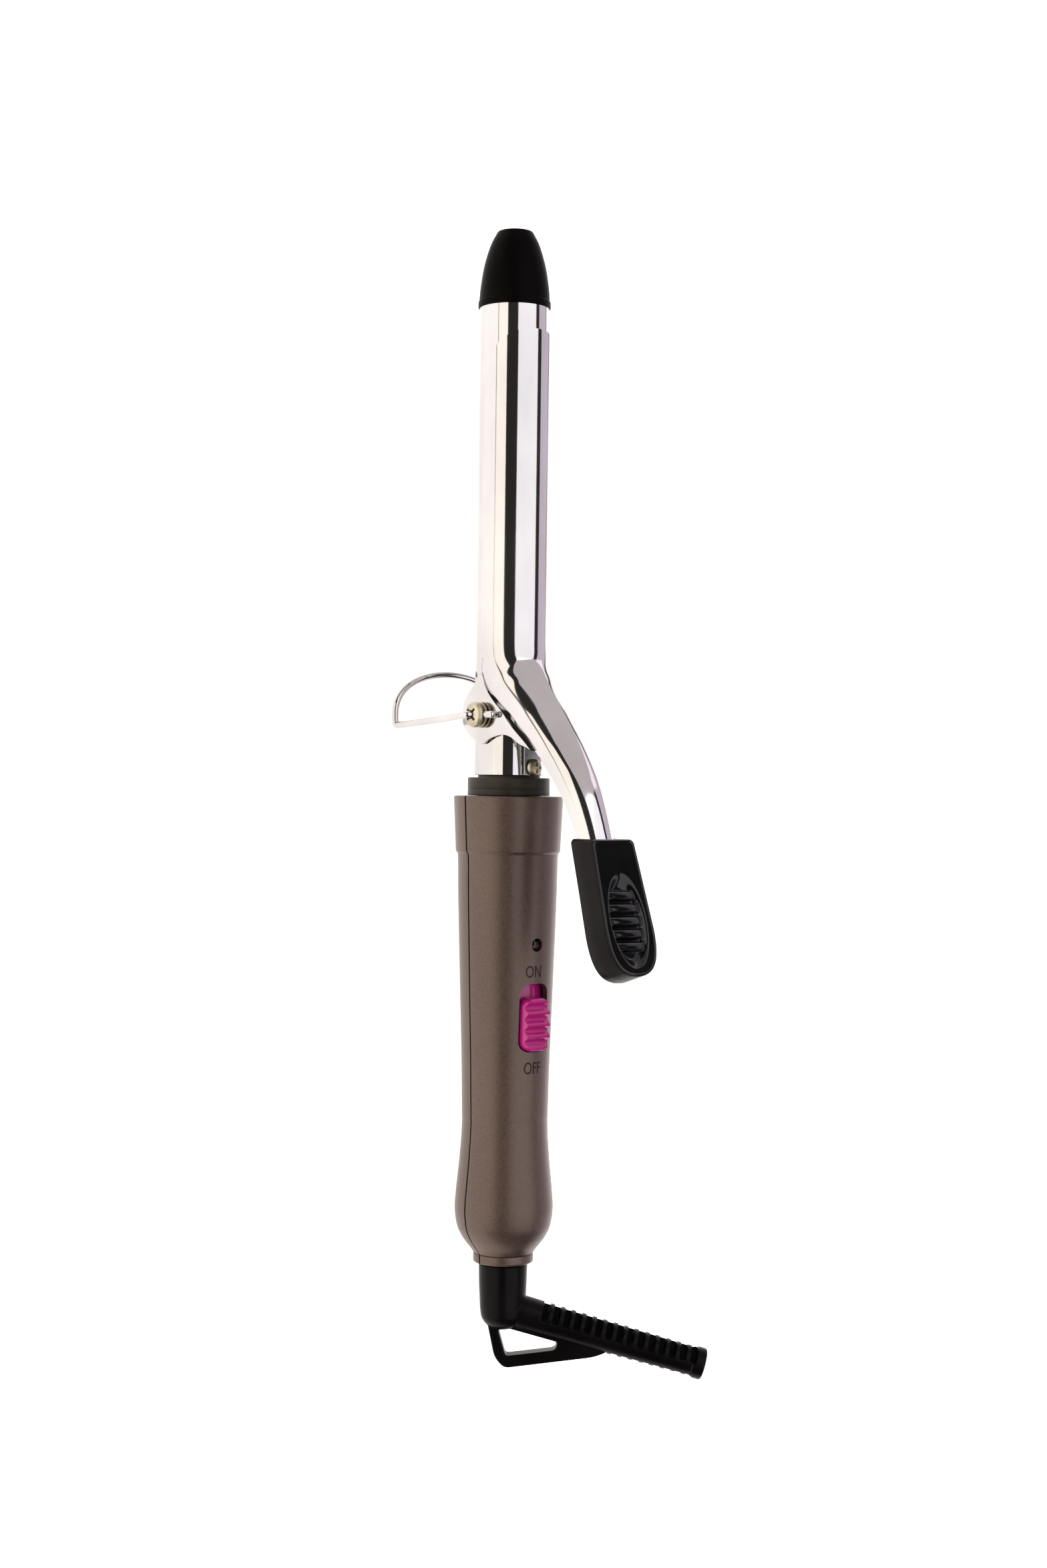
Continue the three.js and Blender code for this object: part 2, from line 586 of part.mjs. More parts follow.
// Swivel cord outlet, with its arm along +X before it is turned to its azimuth
function strainRelief() {
  const neck = turned([
    [0, -133.5], [4.6, -133.5], [4.6, RELIEF_TOP], [6.55, RELIEF_TOP], [6.4, -155], [6.2, ELBOW_Y], [5.4, -164.4],
    [3.6, -166.3], [0, -166.9],
  ], 24);
  const armProfile = [
    [0, -1], [4.5, -1], [4.75, 6], [4.5, 16], [4, 53.5], [4.3, 53.8], [4.3, 56.7], [4, ARM_LENGTH], [0, ARM_LENGTH],
  ];
  const arm = turned(armProfile, 20).rotateZ(-Math.PI / 2 - ARM_DROP).translate(0, ELBOW_Y, 0);
  const plate = new THREE.Shape();
  plate.moveTo(-5.2, -160).lineTo(-2.1, -174.6).quadraticCurveTo(-1, -177.4, 2.4, -177.6);
  plate.lineTo(25, -174.2).lineTo(29, -172.6).lineTo(29, -169.4).lineTo(0, -161);
  const hole = new THREE.Path();
  hole.moveTo(-1.2, -166.6).lineTo(0.9, -173.2).quadraticCurveTo(1.2, -174.2, 2.4, -174.1);
  hole.lineTo(12.6, -172.7).quadraticCurveTo(14.8, -172.3, 15, -170.2).lineTo(-0.6, -166).lineTo(-1.2, -166.6);
  plate.holes.push(hole);
  const loop = new THREE.ExtrudeGeometry(plate, { depth: LOOP_THICK, bevelEnabled: false, curveSegments: 5 });
  const body = join(neck, cut(arm, ...reliefSlots()), loop.translate(0, 0, -LOOP_THICK / 2));
  const alongArm = (s) => [s * Math.cos(ARM_DROP), ELBOW_Y - s * Math.sin(ARM_DROP), 0];
  return cut(body, rod(2.1, alongArm(30), alongArm(ARM_LENGTH + 10), 16));
}

// Two rows of open slots that let the arm bend, on opposite sides.
function reliefSlots() {
  const slots = [];
  for (let i = 0; i < SLOT_COUNT; i += 1) {
    const start = SLOT_START + i * SLOT_PITCH;
    for (const [low, high] of [[2.9, 6], [-6, -2.9]]) {
      const slot = block([start, -5, low], [start + SLOT_OPEN, 5, high]).rotateX(SLOT_TURN);
      slots.push(slot.rotateZ(-ARM_DROP).translate(0, ELBOW_Y, 0));
    }
  }
  return slots;
}

function swivelHub() {
  return turned([
    [4.9, -141.9], [8.7, -141.9], [8.7, -139.4], [6, -139.4], [6, -131.2], [2.2, -131.2], [2.2, -133.2],
    [4.9, -133.2], [4.9, -141.9],
  ], 24);
}

function contactBrush(side, y) {
  const strip = block([7.6, y, -1.5], [8.1, -121, 1.5]);
  const foot = block([7.6, -123, -1.5], [9.4, -121, 1.5]);
  const whole = join(strip, foot);
  return side > 0 ? whole : closed(whole.rotateY(Math.PI));
}

function switchTerminal(y) {
  return join(block([2.4, y - 0.4, -0.2], [4, y + 0.4, 1.9]), block([2.4, y - 1.2, 1.3], [4, y + 1.2, 1.9]));
}

// Assembly
function pivotCrossbar() {
  const bar = rod(3, [-7.7, 0, PIVOT_Z], [7.7, 0, PIVOT_Z], 20);
  const threads = [-1, 1].map((side) => rod(1.8, [side * 5.3, 0, PIVOT_Z], [side * 10, 0, PIVOT_Z]));
  return cut(bar, ...threads);
}

const iron = new THREE.Group();

function add(name, geometry, material, parent = iron) {
  const mesh = new THREE.Mesh(geometry, material);
  mesh.name = name;
  parent.add(mesh);
  return mesh;
}

add('barrel_tube', barrelTube(), chrome);
add('tip_cap', tipCap(), blackPlastic);
add('heat_collar', heatCollar(), collarPaint);
add('barrel_bushing', barrelBushing(), phenolic);
add('handle_front_shell', handleFrontShell(), bronzePaint);
add('handle_rear_shell', handleRearShell(), bronzePaint);
add('tail_ring', tailRing(), bronzePaint);
HANDLE_SCREWS.forEach((y, i) => add(`handle_screw_${i + 1}`, handleScrew(y), springSteel));

add('heat_spreader_front', heatSpreader(-1), aluminium);
add('heat_spreader_rear', heatSpreader(1), aluminium);
add('heater_element', block([-6, 24, -1], [6, 96, 1]), ceramic);
add('thermal_fuse', thermalFuse(), springSteel);
add('live_lead', liveLead(), redInsulation);
add('feed_lead', feedLead(), redInsulation);
add('neutral_lead', neutralLead(), whiteInsulation);

add('switch_slider', switchSlider(), magenta);
add('switch_body', switchBody(), blackPlastic);
[-88.5, -73.5 - 4].forEach((y, i) => add(`switch_terminal_${i + 1}`, switchTerminal(y), brass));
add('indicator_lens', indicatorLens(), smokeLens);
add('indicator_lamp', indicatorLamp(), amber);
add('indicator_board', block([-4.5, -67.6, 2.4], [4.5, -53.5, 3.7]), boardGreen);
add('indicator_resistor', rod(0.9, [-3, -56.4, 4.9], [3, -56.4, 4.9], 12), ceramic);

add('clamp', clamp(), chrome);
add('thumb_rest', thumbRest(), glossBlack);
add('clamp_spring', leafSpring(), springSteel);
add('spring_screw', springScrew(), zinc);
add('pivot_crossbar', pivotCrossbar(), springSteel);
[['near', -1], ['far', 1]].forEach(([word, side]) => {
  add(`pivot_screw_${word}`, pivotScrew(side), zinc);
  add(`pivot_washer_${word}`, pivotWasher(side), zinc);
});

const stand = add('stand_bail', standBail(), chrome);
stand.position.set(0, 0, PIVOT_Z);
stand.rotation.x = -REST_TILT;

const outlet = new THREE.Group();
outlet.rotation.y = -ARM_AZIMUTH;
iron.add(outlet);
add('strain_relief', strainRelief(), softVinyl, outlet);
add('swivel_hub', swivelHub(), phenolic);
add('contact_ring_live', ring(7.1, 6.3, -134.2, -132.2, 20), brass);
add('contact_ring_neutral', ring(7.1, 6.3, -138.4, -136.4, 20), brass);
add('contact_brush_live', contactBrush(1, -134.2), springSteel);
add('contact_brush_neutral', contactBrush(-1, -138.4), springSteel);

iron.rotation.x = REST_TILT;
const curlingIron = new THREE.Group();
curlingIron.add(iron);

// The origin is the middle of the object's footprint, on the surface that it rests on.
curlingIron.updateMatrixWorld(true);
const bounds = new THREE.Box3().setFromObject(curlingIron, true);
const middle = bounds.getCenter(new THREE.Vector3());
iron.position.set(-middle.x, -middle.y, -bounds.min.z);

export default curlingIron;
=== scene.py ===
"""Curling iron: chrome barrel and sprung clamp, wire stand, painted handle, swivel cord outlet.

Every piece is modelled in millimetres on the iron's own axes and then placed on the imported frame:
+Y runs along the barrel to the tip, +Z is the side of the thumb lever, and y = 0 is the pivot.
"""
import json
import math

import bmesh
import bpy
from bpy.props import FloatProperty, FloatVectorProperty, IntProperty, PointerProperty
from mathutils import Matrix, Vector


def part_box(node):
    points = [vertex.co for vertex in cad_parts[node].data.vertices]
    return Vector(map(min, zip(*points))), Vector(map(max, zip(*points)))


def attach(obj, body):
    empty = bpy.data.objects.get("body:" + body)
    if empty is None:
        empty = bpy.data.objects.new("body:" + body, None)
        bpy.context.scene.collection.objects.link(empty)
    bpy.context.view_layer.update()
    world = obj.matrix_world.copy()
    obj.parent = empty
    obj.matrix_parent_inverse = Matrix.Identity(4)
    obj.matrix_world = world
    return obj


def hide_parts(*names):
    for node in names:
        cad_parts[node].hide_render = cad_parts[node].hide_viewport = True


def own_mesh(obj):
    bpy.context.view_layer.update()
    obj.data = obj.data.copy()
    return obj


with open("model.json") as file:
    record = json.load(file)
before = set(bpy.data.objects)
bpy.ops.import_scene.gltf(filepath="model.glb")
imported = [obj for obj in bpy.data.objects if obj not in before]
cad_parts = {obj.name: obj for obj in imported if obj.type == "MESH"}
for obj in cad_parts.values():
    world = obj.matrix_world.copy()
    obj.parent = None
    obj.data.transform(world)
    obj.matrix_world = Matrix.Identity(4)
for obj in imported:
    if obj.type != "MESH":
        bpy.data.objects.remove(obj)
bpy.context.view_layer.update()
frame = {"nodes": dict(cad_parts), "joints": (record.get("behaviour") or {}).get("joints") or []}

bl_info = {
    "name": "Curling iron",
    "version": (1, 0, 0),
    "blender": (4, 5, 0),
    "location": "View3D > Sidebar > Curling iron",
    "description": "Builds a curling iron's visible pieces and finishes around its packed frame",
    "category": "Add Mesh",
}

JOINTS = {joint["name"]: joint for joint in frame["joints"]}
PIVOT = Vector(JOINTS["clamp_pivot"]["pos_m"])
BARREL_WAY = Vector(JOINTS["switch_slide"]["axis"])
TILT = math.atan2(BARREL_WAY.z, BARREL_WAY.y)

# Sizes in millimetres, on the iron's own axes
MM = 0.001
PIVOT_Z = 0.8
BARREL_R = (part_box("barrel_tube")[1].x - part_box("barrel_tube")[0].x) / 2 / MM
COLLAR_R = (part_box("heat_collar")[1].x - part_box("heat_collar")[0].x) / 2 / MM
BARREL_TIP, BARREL_REAR = 111.0, -16.2
BARREL_WALL = 0.7
CAP_TOP, CAP_LIP_R = 132.1, 9.9
COLLAR_FRONT = -16.8
HANDLE_FRONT, HANDLE_STEP, HANDLE_TAIL = -21.8, -37.2, -146.0
SHELL_WALL, SEAM = 1.8, 0.55
BULB_R, BULB_Y = 13.4, -134.0
CLAMP_R, SHEET = 10.45, 0.7
CLAMP_PEAK, TONGUE_STRAIGHT, CLAMP_COVER, REAR_COVER = 104.2, 93.2, 76.0, 84.0
EAR_X = 10.6
SLOT_FRONT, SLOT_LENGTH, SLOT_WIDTH = -72.1, 18.4, 9.5
SLIDER_LENGTH, SLIDER_WIDTH, RIDGE_PITCH = 14.4, 8.3, 3.12
LAMP_Y, LAMP_HOLE_R = -61.7, 1.8
SPRING_SCREW_Y = -14.1
PIVOT_HOLE_R, SPRING_HOLE_R = 1.8, 1.5
THUMB_TOP = Vector((0, -32.5, 43.35))
THUMB_SLOPE = math.radians(17.5)
RIB_PITCH, RIB_MIDDLE = 3.37, 21.4
THUMB_LENGTH, THUMB_THICK = 36.2, 8.8
DISH_MIDDLE, DISH_HALF_WIDE, DISH_HALF_LONG, DISH_DEPTH = 21.6, 6.2, 12.8, 1.9
RELIEF_TOP, ELBOW_Y = -149.0, -161.3
ARM_DROP, ARM_AZIMUTH = math.radians(15.2), math.radians(39)
LOOP_THICK, CORD_BORE_R, REMESH_VOXEL = 4.8, 1.9, 0.22
FIRST_SLOT, SLOT_OPEN, SLOT_FLOOR, SLOT_TURN = 10.7, 0.64, 2.1, math.radians(-64)
LEG, FOOT_HALF_WIDTH, FOOT_REACH = 27.0, 19.5, 14.9

# The studio, in metres and radians
CAMERA_AZIMUTH, CAMERA_ROLL = math.radians(39), math.radians(0.69)
CAMERA_DISTANCE, CAMERA_SHIFT, CAMERA_AIM_Y = 0.612, 0.004, -18.5
SENSOR, LENS = 36, 51.49
LIGHT_DISTANCE, WORLD_COLOUR, WORLD_STRENGTH = 0.9, "#CFCBC8", 0.07
SOFTBOXES = [
    # name, angle and lean in degrees, width, length, radiance, colour
    ("warm_softbox", -36, 0, 0.5, 1.5, 1.95, "#FFF8EC"),
    ("white_softbox", 45, 0, 1.12, 1.5, 1.75, "#FCFAFF"),
    ("side_softbox", 109, 0, 0.6, 1.5, 1.1, "#EADFF0"),
    ("end_softbox", 66, 62, 1.7, 0.85, 0.95, "#F2EAEC"),
]

# From the iron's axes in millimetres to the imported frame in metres
IRON = (
    Matrix.Translation(PIVOT)
    @ Matrix.Rotation(TILT, 4, "X")
    @ Matrix.Scale(MM, 4)
    @ Matrix.Translation((0, 0, -PIVOT_Z))
)
STAND = Matrix.Translation(PIVOT) @ Matrix.Scale(MM, 4)
OUTLET = IRON @ Matrix.Rotation(-ARM_AZIMUTH, 4, "Y")
THUMB = IRON @ Matrix(
    (
        (1, 0, 0, THUMB_TOP.x),
        (0, -math.cos(THUMB_SLOPE), -math.sin(THUMB_SLOPE), THUMB_TOP.y),
        (0, math.sin(THUMB_SLOPE), -math.cos(THUMB_SLOPE), THUMB_TOP.z),
        (0, 0, 0, 1),
    )
)


# Outlines


def rounded(points, steps=5):
    """A path of (x, y) or (x, y, radius) points, whose corners with a radius become arcs."""
    path = []
    for i, point in enumerate(points):
        here = Vector(point[:2])
        if len(point) == 2 or i in (0, len(points) - 1):
            path.append(here)
            continue
        before, after = Vector(points[i - 1][:2]) - here, Vector(points[i + 1][:2]) - here
        reach = min(point[2], before.length * 0.49, after.length * 0.49)
        start, end = here + before.normalized() * reach, here + after.normalized() * reach
        for step in range(steps + 1):
            t = step / steps
            path.append(start * (1 - t) ** 2 + here * 2 * t * (1 - t) + end * t * t)
    return [tuple(p) for p in path]


def spline(points, steps):
    """A smooth curve through points, with this many steps between two of them."""
    ends = [tuple(2 * a - b for a, b in zip(points[0], points[1]))]
    tail = [tuple(2 * a - b for a, b in zip(points[-1], points[-2]))]
    p = [Vector(q) for q in ends + list(points) + tail]
    curve = []
    for i in range(1, len(p) - 2):
        for step in range(steps):
            t = step / steps
            a = -p[i - 1] + p[i] * 3 - p[i + 1] * 3 + p[i + 2]
            b = p[i - 1] * 2 - p[i] * 5 + p[i + 1] * 4 - p[i + 2]
            c = p[i + 1] - p[i - 1]
            curve.append(tuple((a * t**3 + b * t**2 + c * t + p[i] * 2) / 2))
    return curve + [tuple(points[-1])]


def smooth_table(table, at):
    """A value from a table of (position, value) rows, going down in position, with no overshoot."""
    if at >= table[0][0]:
        return table[0][1]
    if at <= table[-1][0]:
        return table[-1][1]
    i = next(k for k in range(1, len(table)) if table[k][0] <= at)
    slopes = [(b[1] - a[1]) / (b[0] - a[0]) for a, b in zip(table, table[1:])]

    def tangent(k):
        if k in (0, len(table) - 1):
            return slopes[min(k, len(slopes) - 1)]
        before, after = slopes[k - 1], slopes[k]
        return 0.0 if before * after <= 0 else 2 * before * after / (before + after)

    (x0, y0), (x1, y1) = table[i - 1], table[i]
    t = (at - x0) / (x1 - x0)
    wide = x1 - x0
    return (
        y0 * (2 * t**3 - 3 * t**2 + 1)
        + tangent(i - 1) * wide * (t**3 - 2 * t**2 + t)
        + y1 * (-2 * t**3 + 3 * t**2)
        + tangent(i) * wide * (t**3 - t**2)
    )


def smoothstep(low, high, value):
    t = min(max((value - low) / (high - low), 0.0), 1.0)
    return t * t * (3 - 2 * t)


def rounded_rectangle(width, length, radius, steps=10):
    """A closed outline about its own middle, counter-clockwise."""
    outline = []
    for turn, (sx, sy) in enumerate(((1, -1), (1, 1), (-1, 1), (-1, -1))):
        for step in range(steps + 1):
            angle = math.radians(-90 + turn * 90 + 90 * step / steps)
            x = sx * (width / 2 - radius) + radius * math.cos(angle)
            outline.append((x, sy * (length / 2 - radius) + radius * math.sin(angle)))
    return outline


# Meshes


def skin(rings, count):
    """Faces between the neighbours in a row of closed rings of count points."""
    faces = []
    for a in range(0, (rings - 1) * count, count):
        b = a + count
        faces += [(a + i, a + (i + 1) % count, b + (i + 1) % count, b + i) for i in range(count)]
    return faces


def end_caps(rings, count):
    last = (rings - 1) * count
    return [tuple(range(count))[::-1], tuple(range(last, last + count))]


def turned(profile, segments=96, start=0.0, turn=2 * math.pi):
    """Vertices and faces of (radius, y) points turned about Y, with end caps if it isn't a full turn."""
    whole = abs(turn - 2 * math.pi) < 1e-6
    count = segments if whole else segments + 1
    verts, faces = [], []
    for k in range(count):
        angle = start + turn * k / segments
        verts += [(r * math.sin(angle), y, r * math.cos(angle)) for r, y in profile]
    n = len(profile)
    for k in range(segments):
        a, b = k * n, ((k + 1) % count) * n
        faces += [(a + i, a + i + 1, b + i + 1, b + i) for i in range(n - 1)]
    if not whole:
        faces += end_caps(count, n)
    return verts, faces


def as_drawn(u, v, height):
    return u, v, height


def from_side(u, v, height):
    return height, u, v


def extruded(outline, low, high, to_point):
    """A closed outline pushed from low to high; to_point turns (u, v, height) into a point."""
    n = len(outline)
    verts = [to_point(u, v, low) for u, v in outline] + [to_point(u, v, high) for u, v in outline]
    return verts, end_caps(2, n) + skin(2, n)


def padded_form(outline, spine, section, to_point, top):
    """A moulded pad: rings of the outline drawn in to a spine, at the shares and depths of section."""
    n = len(outline)
    low, high = spine
    verts = []
    for share, depth in section:
        for u, v in outline:
            core = min(max(v, low), high)
            x, y = u * share, core + (v - core) * share
            verts.append(to_point(x, y, depth + (top(x, y, share) if share < 1 and depth < 1 else 0)))
    return verts, skin(len(section), n)


def add_object(name, data):
    made = bpy.data.objects.new(name, data)
    bpy.context.scene.collection.objects.link(made)
    return made


def piece(name, body, shape, matrix=IRON, sharp=35.0):
    """A mesh object from vertices and faces in millimetres, placed by matrix, that rides on body."""
    mesh = bpy.data.meshes.new(name)
    mesh.from_pydata(shape[0], [], shape[1])
    form = bmesh.new()
    form.from_mesh(mesh)
    bmesh.ops.remove_doubles(form, verts=form.verts, dist=1e-3)
    bmesh.ops.dissolve_degenerate(form, edges=form.edges, dist=1e-4)
    bmesh.ops.recalc_face_normals(form, faces=form.faces)
    form.to_mesh(mesh)
    form.free()
    made = add_object(name, mesh)
    mesh.transform(matrix)
    shade(made, sharp)
    if body:
        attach(made, body)
    return made


def shade(made, sharp=35.0):
    for face in made.data.polygons:
        face.use_smooth = True
    made.data.set_sharp_from_angle(angle=math.radians(sharp))


def settle(made, sharp=35.0):
    """Applies an object's modifiers."""
    graph = bpy.context.evaluated_depsgraph_get()
    mesh = bpy.data.meshes.new_from_object(made.evaluated_get(graph))
    made.modifiers.clear()
    made.data = mesh
    shade(made, sharp)
    return made


def carve(made, tools, operation="DIFFERENCE", sharp=35.0):
    """Cuts or joins objects, which are used up, into made."""
    for tool in tools:
        modifier = made.modifiers.new("carve", "BOOLEAN")
        modifier.operation, modifier.solver, modifier.object = operation, "EXACT", tool
    settle(made, sharp)
    for tool in tools:
        bpy.data.objects.remove(tool)
    return made


def drill(radius, start, end, matrix=IRON):
    """A round cutter between two points."""
    verts, faces = turned([(0, 0), (radius, 0), (radius, 1), (0, 1)], 48)
    span = Vector(end) - Vector(start)
    turn = Vector((0, 1, 0)).rotation_difference(span.normalized()).to_matrix().to_4x4()
    fit = Matrix.Translation(start) @ turn @ Matrix.Diagonal((1, span.length, 1, 1))
    return piece("drill", None, (verts, faces), matrix @ fit)


def cross_cutter(half, width, low, high, matrix):
    """A cross recess for a driver, about the origin, from low to high along Y."""
    a, b = half, width / 2
    outline = [
        (a, -b), (a, b), (b, b), (b, a), (-b, a), (-b, b),
        (-a, b), (-a, -b), (-b, -b), (-b, -a), (b, -a), (b, -b),
    ]
    return piece("cross", None, extruded(outline, low, high, lambda u, v, h: (u, h, v)), matrix)


def tube_along(points, radius):
    """Vertices and faces of a round wire along points, whose section never twists."""
    path, sides = [Vector(p) for p in points], 24
    verts, normal = [], None
    for i, here in enumerate(path):
        way = (path[min(i + 1, len(path) - 1)] - path[max(i - 1, 0)]).normalized()
        if normal is None:
            normal = way.orthogonal().normalized()
        normal = (normal - way * normal.dot(way)).normalized()
        across = way.cross(normal)
        for k in range(sides):
            angle = 2 * math.pi * k / sides
            verts.append(here + (normal * math.cos(angle) + across * math.sin(angle)) * radius)
    return verts, skin(len(path), sides) + end_caps(len(path), sides)


# Finishes


def linear(hex_colour):
    """An sRGB hex colour as linear RGBA."""
    parts = [int(hex_colour.lstrip("#")[i : i + 2], 16) / 255 for i in (0, 2, 4)]
    return (*[p / 12.92 if p <= 0.04045 else ((p + 0.055) / 1.055) ** 2.4 for p in parts], 1.0)


def shaded(light, share):
    """A linear colour at a share of its brightness."""
    return (*[part * share for part in light[:3]], 1.0)


def add_node(tree, kind, sockets=None, links=None, **settings):
    """Adds a node, with its settings, its fixed sockets and its links from other nodes' outputs."""
    made = tree.nodes.new(kind)
    for key, value in settings.items():
        setattr(made, key, value)
    for key, value in (sockets or {}).items():
        made.inputs[key].default_value = value
    for key, (source, output) in (links or {}).items():
        tree.links.new(source.outputs[output], made.inputs[key])
    return made


def new_finish(name, **sockets):
    """A material with its shader's fixed sockets set, its node tree and the shader."""
    material = bpy.data.materials.new(name)
    material.use_nodes = True
    tree = material.node_tree
    tree.nodes.clear()
    shader = add_node(tree, "ShaderNodeBsdfPrincipled", sockets)
    output = add_node(tree, "ShaderNodeOutputMaterial")
    tree.links.new(shader.outputs["BSDF"], output.inputs["Surface"])
    material.diffuse_color = tuple(sockets.get("Base Color", (0.5, 0.5, 0.5, 1)))
    return material, tree, shader


def per_metre(size_mm):
    """The texture scale that gives features of this size in millimetres."""
    return 1 / (size_mm * MM)


def grain(tree, size_mm, stretch=(1, 1, 1), detail=3.0, kind="ShaderNodeTexNoise"):
    """A noise over the piece's own coordinates, with features of size_mm drawn out by stretch."""
    place = add_node(tree, "ShaderNodeTexCoord")
    turn = add_node(
        tree,
        "ShaderNodeMapping",
        {"Rotation": (-TILT, 0, 0), "Scale": tuple(1 / s for s in stretch)},
        {"Vector": (place, "Object")},
    )
    sockets = {"Scale": per_metre(size_mm)}
    if kind == "ShaderNodeTexNoise":
        sockets["Detail"] = detail
    return add_node(tree, kind, sockets, {"Vector": (turn, "Vector")})


def spread(tree, source, output, low, high, start=0.35, end=0.65):
    """Maps the middle of a pattern to values from low to high."""
    return add_node(
        tree,
        "ShaderNodeMapRange",
        {"From Min": start, "From Max": end, "To Min": low, "To Max": high},
        {"Value": (source, output)},
    )


def tint(tree, source, output, dark, light, start=0.35, end=0.65):
    """A colour that runs from dark to light, each hex or linear, over the middle of a pattern."""
    ramp = add_node(tree, "ShaderNodeValToRGB", links={"Fac": (source, output)})
    ramp.color_ramp.elements[0].position, ramp.color_ramp.elements[1].position = start, end
    for element, end_colour in zip(ramp.color_ramp.elements, (dark, light)):
        element.color = linear(end_colour) if isinstance(end_colour, str) else end_colour
    return ramp


def relief(tree, shader, source, output, depth_mm, strength):
    """A bump of this depth on the shader."""
    bump = add_node(
        tree,
        "ShaderNodeBump",
        {"Strength": strength, "Distance": depth_mm * MM},
        {"Height": (source, output)},
    )
    connect(tree, shader, "Normal", bump, "Normal")


def connect(tree, shader, socket, source, output):
    tree.links.new(source.outputs[output], shader.inputs[socket])


def polished_chrome(light):
    """Bright chrome plate on steel, buffed along the barrel: a mirror with faint hairlines and smudges."""
    material, tree, shader = new_finish("polished_chrome_plate", Metallic=1.0)
    smudge = grain(tree, 14, (1, 2.5, 1), 4)
    hairline = grain(tree, 0.35, (1, 40, 1), 2)
    tone = tint(tree, smudge, "Fac", shaded(light, 0.86), light)
    gloss = spread(tree, smudge, "Fac", 0.045, 0.1)
    connect(tree, shader, "Base Color", tone, "Color")
    connect(tree, shader, "Roughness", gloss, "Result")
    relief(tree, shader, hairline, "Fac", 0.0015, 0.35)
    return material


def bronze_paint(light):
    """Metallic bronze lacquer sprayed on ABS: fine flakes under a thin satin clear coat.

    Real flakes are about 0.05 mm; they are drawn at 0.25 mm so that they still show.
    """
    settings = {"Coat Weight": 0.25, "Coat Roughness": 0.3, "Metallic": 0.55}
    material, tree, shader = new_finish("sprayed_metallic_lacquer", **settings)
    flake = grain(tree, 0.25, kind="ShaderNodeTexVoronoi")
    cloud = grain(tree, 22, (1, 2, 1), 3)
    tone = tint(tree, flake, "Color", shaded(light, 0.62), light, 0.1, 0.9)
    clouded = tint(tree, cloud, "Fac", "#F9F8F7", "#FFFFFF")
    mixed = add_node(
        tree,
        "ShaderNodeMix",
        {"Factor": 1.0},
        data_type="RGBA",
        blend_type="MULTIPLY",
    )
    tree.links.new(tone.outputs["Color"], mixed.inputs[6])
    tree.links.new(clouded.outputs["Color"], mixed.inputs[7])
    tree.links.new(mixed.outputs[2], shader.inputs["Base Color"])
    connect(tree, shader, "Roughness", spread(tree, flake, "Color", 0.36, 0.5, 0.1, 0.9), "Result")
    relief(tree, shader, flake, "Distance", 0.003, 0.25)
    return material


def moulded(name, dark, light, roughness, grain_mm, depth_mm, shine=0.5, **sockets):
    """A moulded plastic: a fine tool texture of grain_mm, with slow changes of tone and gloss.

    Shine is the shader's specular level, where 0.5 is an ordinary plastic.
    """
    sockets["Specular IOR Level"] = shine
    material, tree, shader = new_finish(name, **sockets)
    texture = grain(tree, grain_mm, detail=2)
    slow = grain(tree, 12, detail=3)
    connect(tree, shader, "Base Color", tint(tree, slow, "Fac", dark, light), "Color")
    gloss = spread(tree, slow, "Fac", roughness * 0.9, roughness * 1.12)
    connect(tree, shader, "Roughness", gloss, "Result")
    relief(tree, shader, texture, "Fac", depth_mm, 0.5)
    return material


def metal(name, dark, light, roughness, grain_mm, stretch=(1, 1, 1)):
    """A worked metal: a grain drawn out by rolling or turning, brighter where it is rubbed."""
    material, tree, shader = new_finish(name, Metallic=1.0)
    lay = grain(tree, grain_mm, stretch)
    patch = grain(tree, 3.5, detail=4)
    connect(tree, shader, "Base Color", tint(tree, patch, "Fac", dark, light), "Color")
    gloss = spread(tree, patch, "Fac", roughness * 0.8, roughness * 1.25)
    connect(tree, shader, "Roughness", gloss, "Result")
    relief(tree, shader, lay, "Fac", 0.004, 0.4)
    return material


def smoked_lens():
    """Smoked acrylic: nearly black and polished, with a painted warm glint in its base colour that stands
    for light scattered from the lamp chamber behind it.
    """
    settings = {"Coat Weight": 0.15, "Coat Roughness": 0.03, "Specular IOR Level": 0.25}
    material, tree, shader = new_finish("smoked_acrylic", **settings)
    painted_glint = grain(tree, 1.6, detail=2)
    # The warm brown patches are a painted glint, drawn into the base colour rather than lit.
    connect(tree, shader, "Base Color", tint(tree, painted_glint, "Fac", "#080403", "#4A2A10", 0.45, 0.8), "Color")
    connect(tree, shader, "Roughness", spread(tree, painted_glint, "Fac", 0.05, 0.2), "Result")
    return material


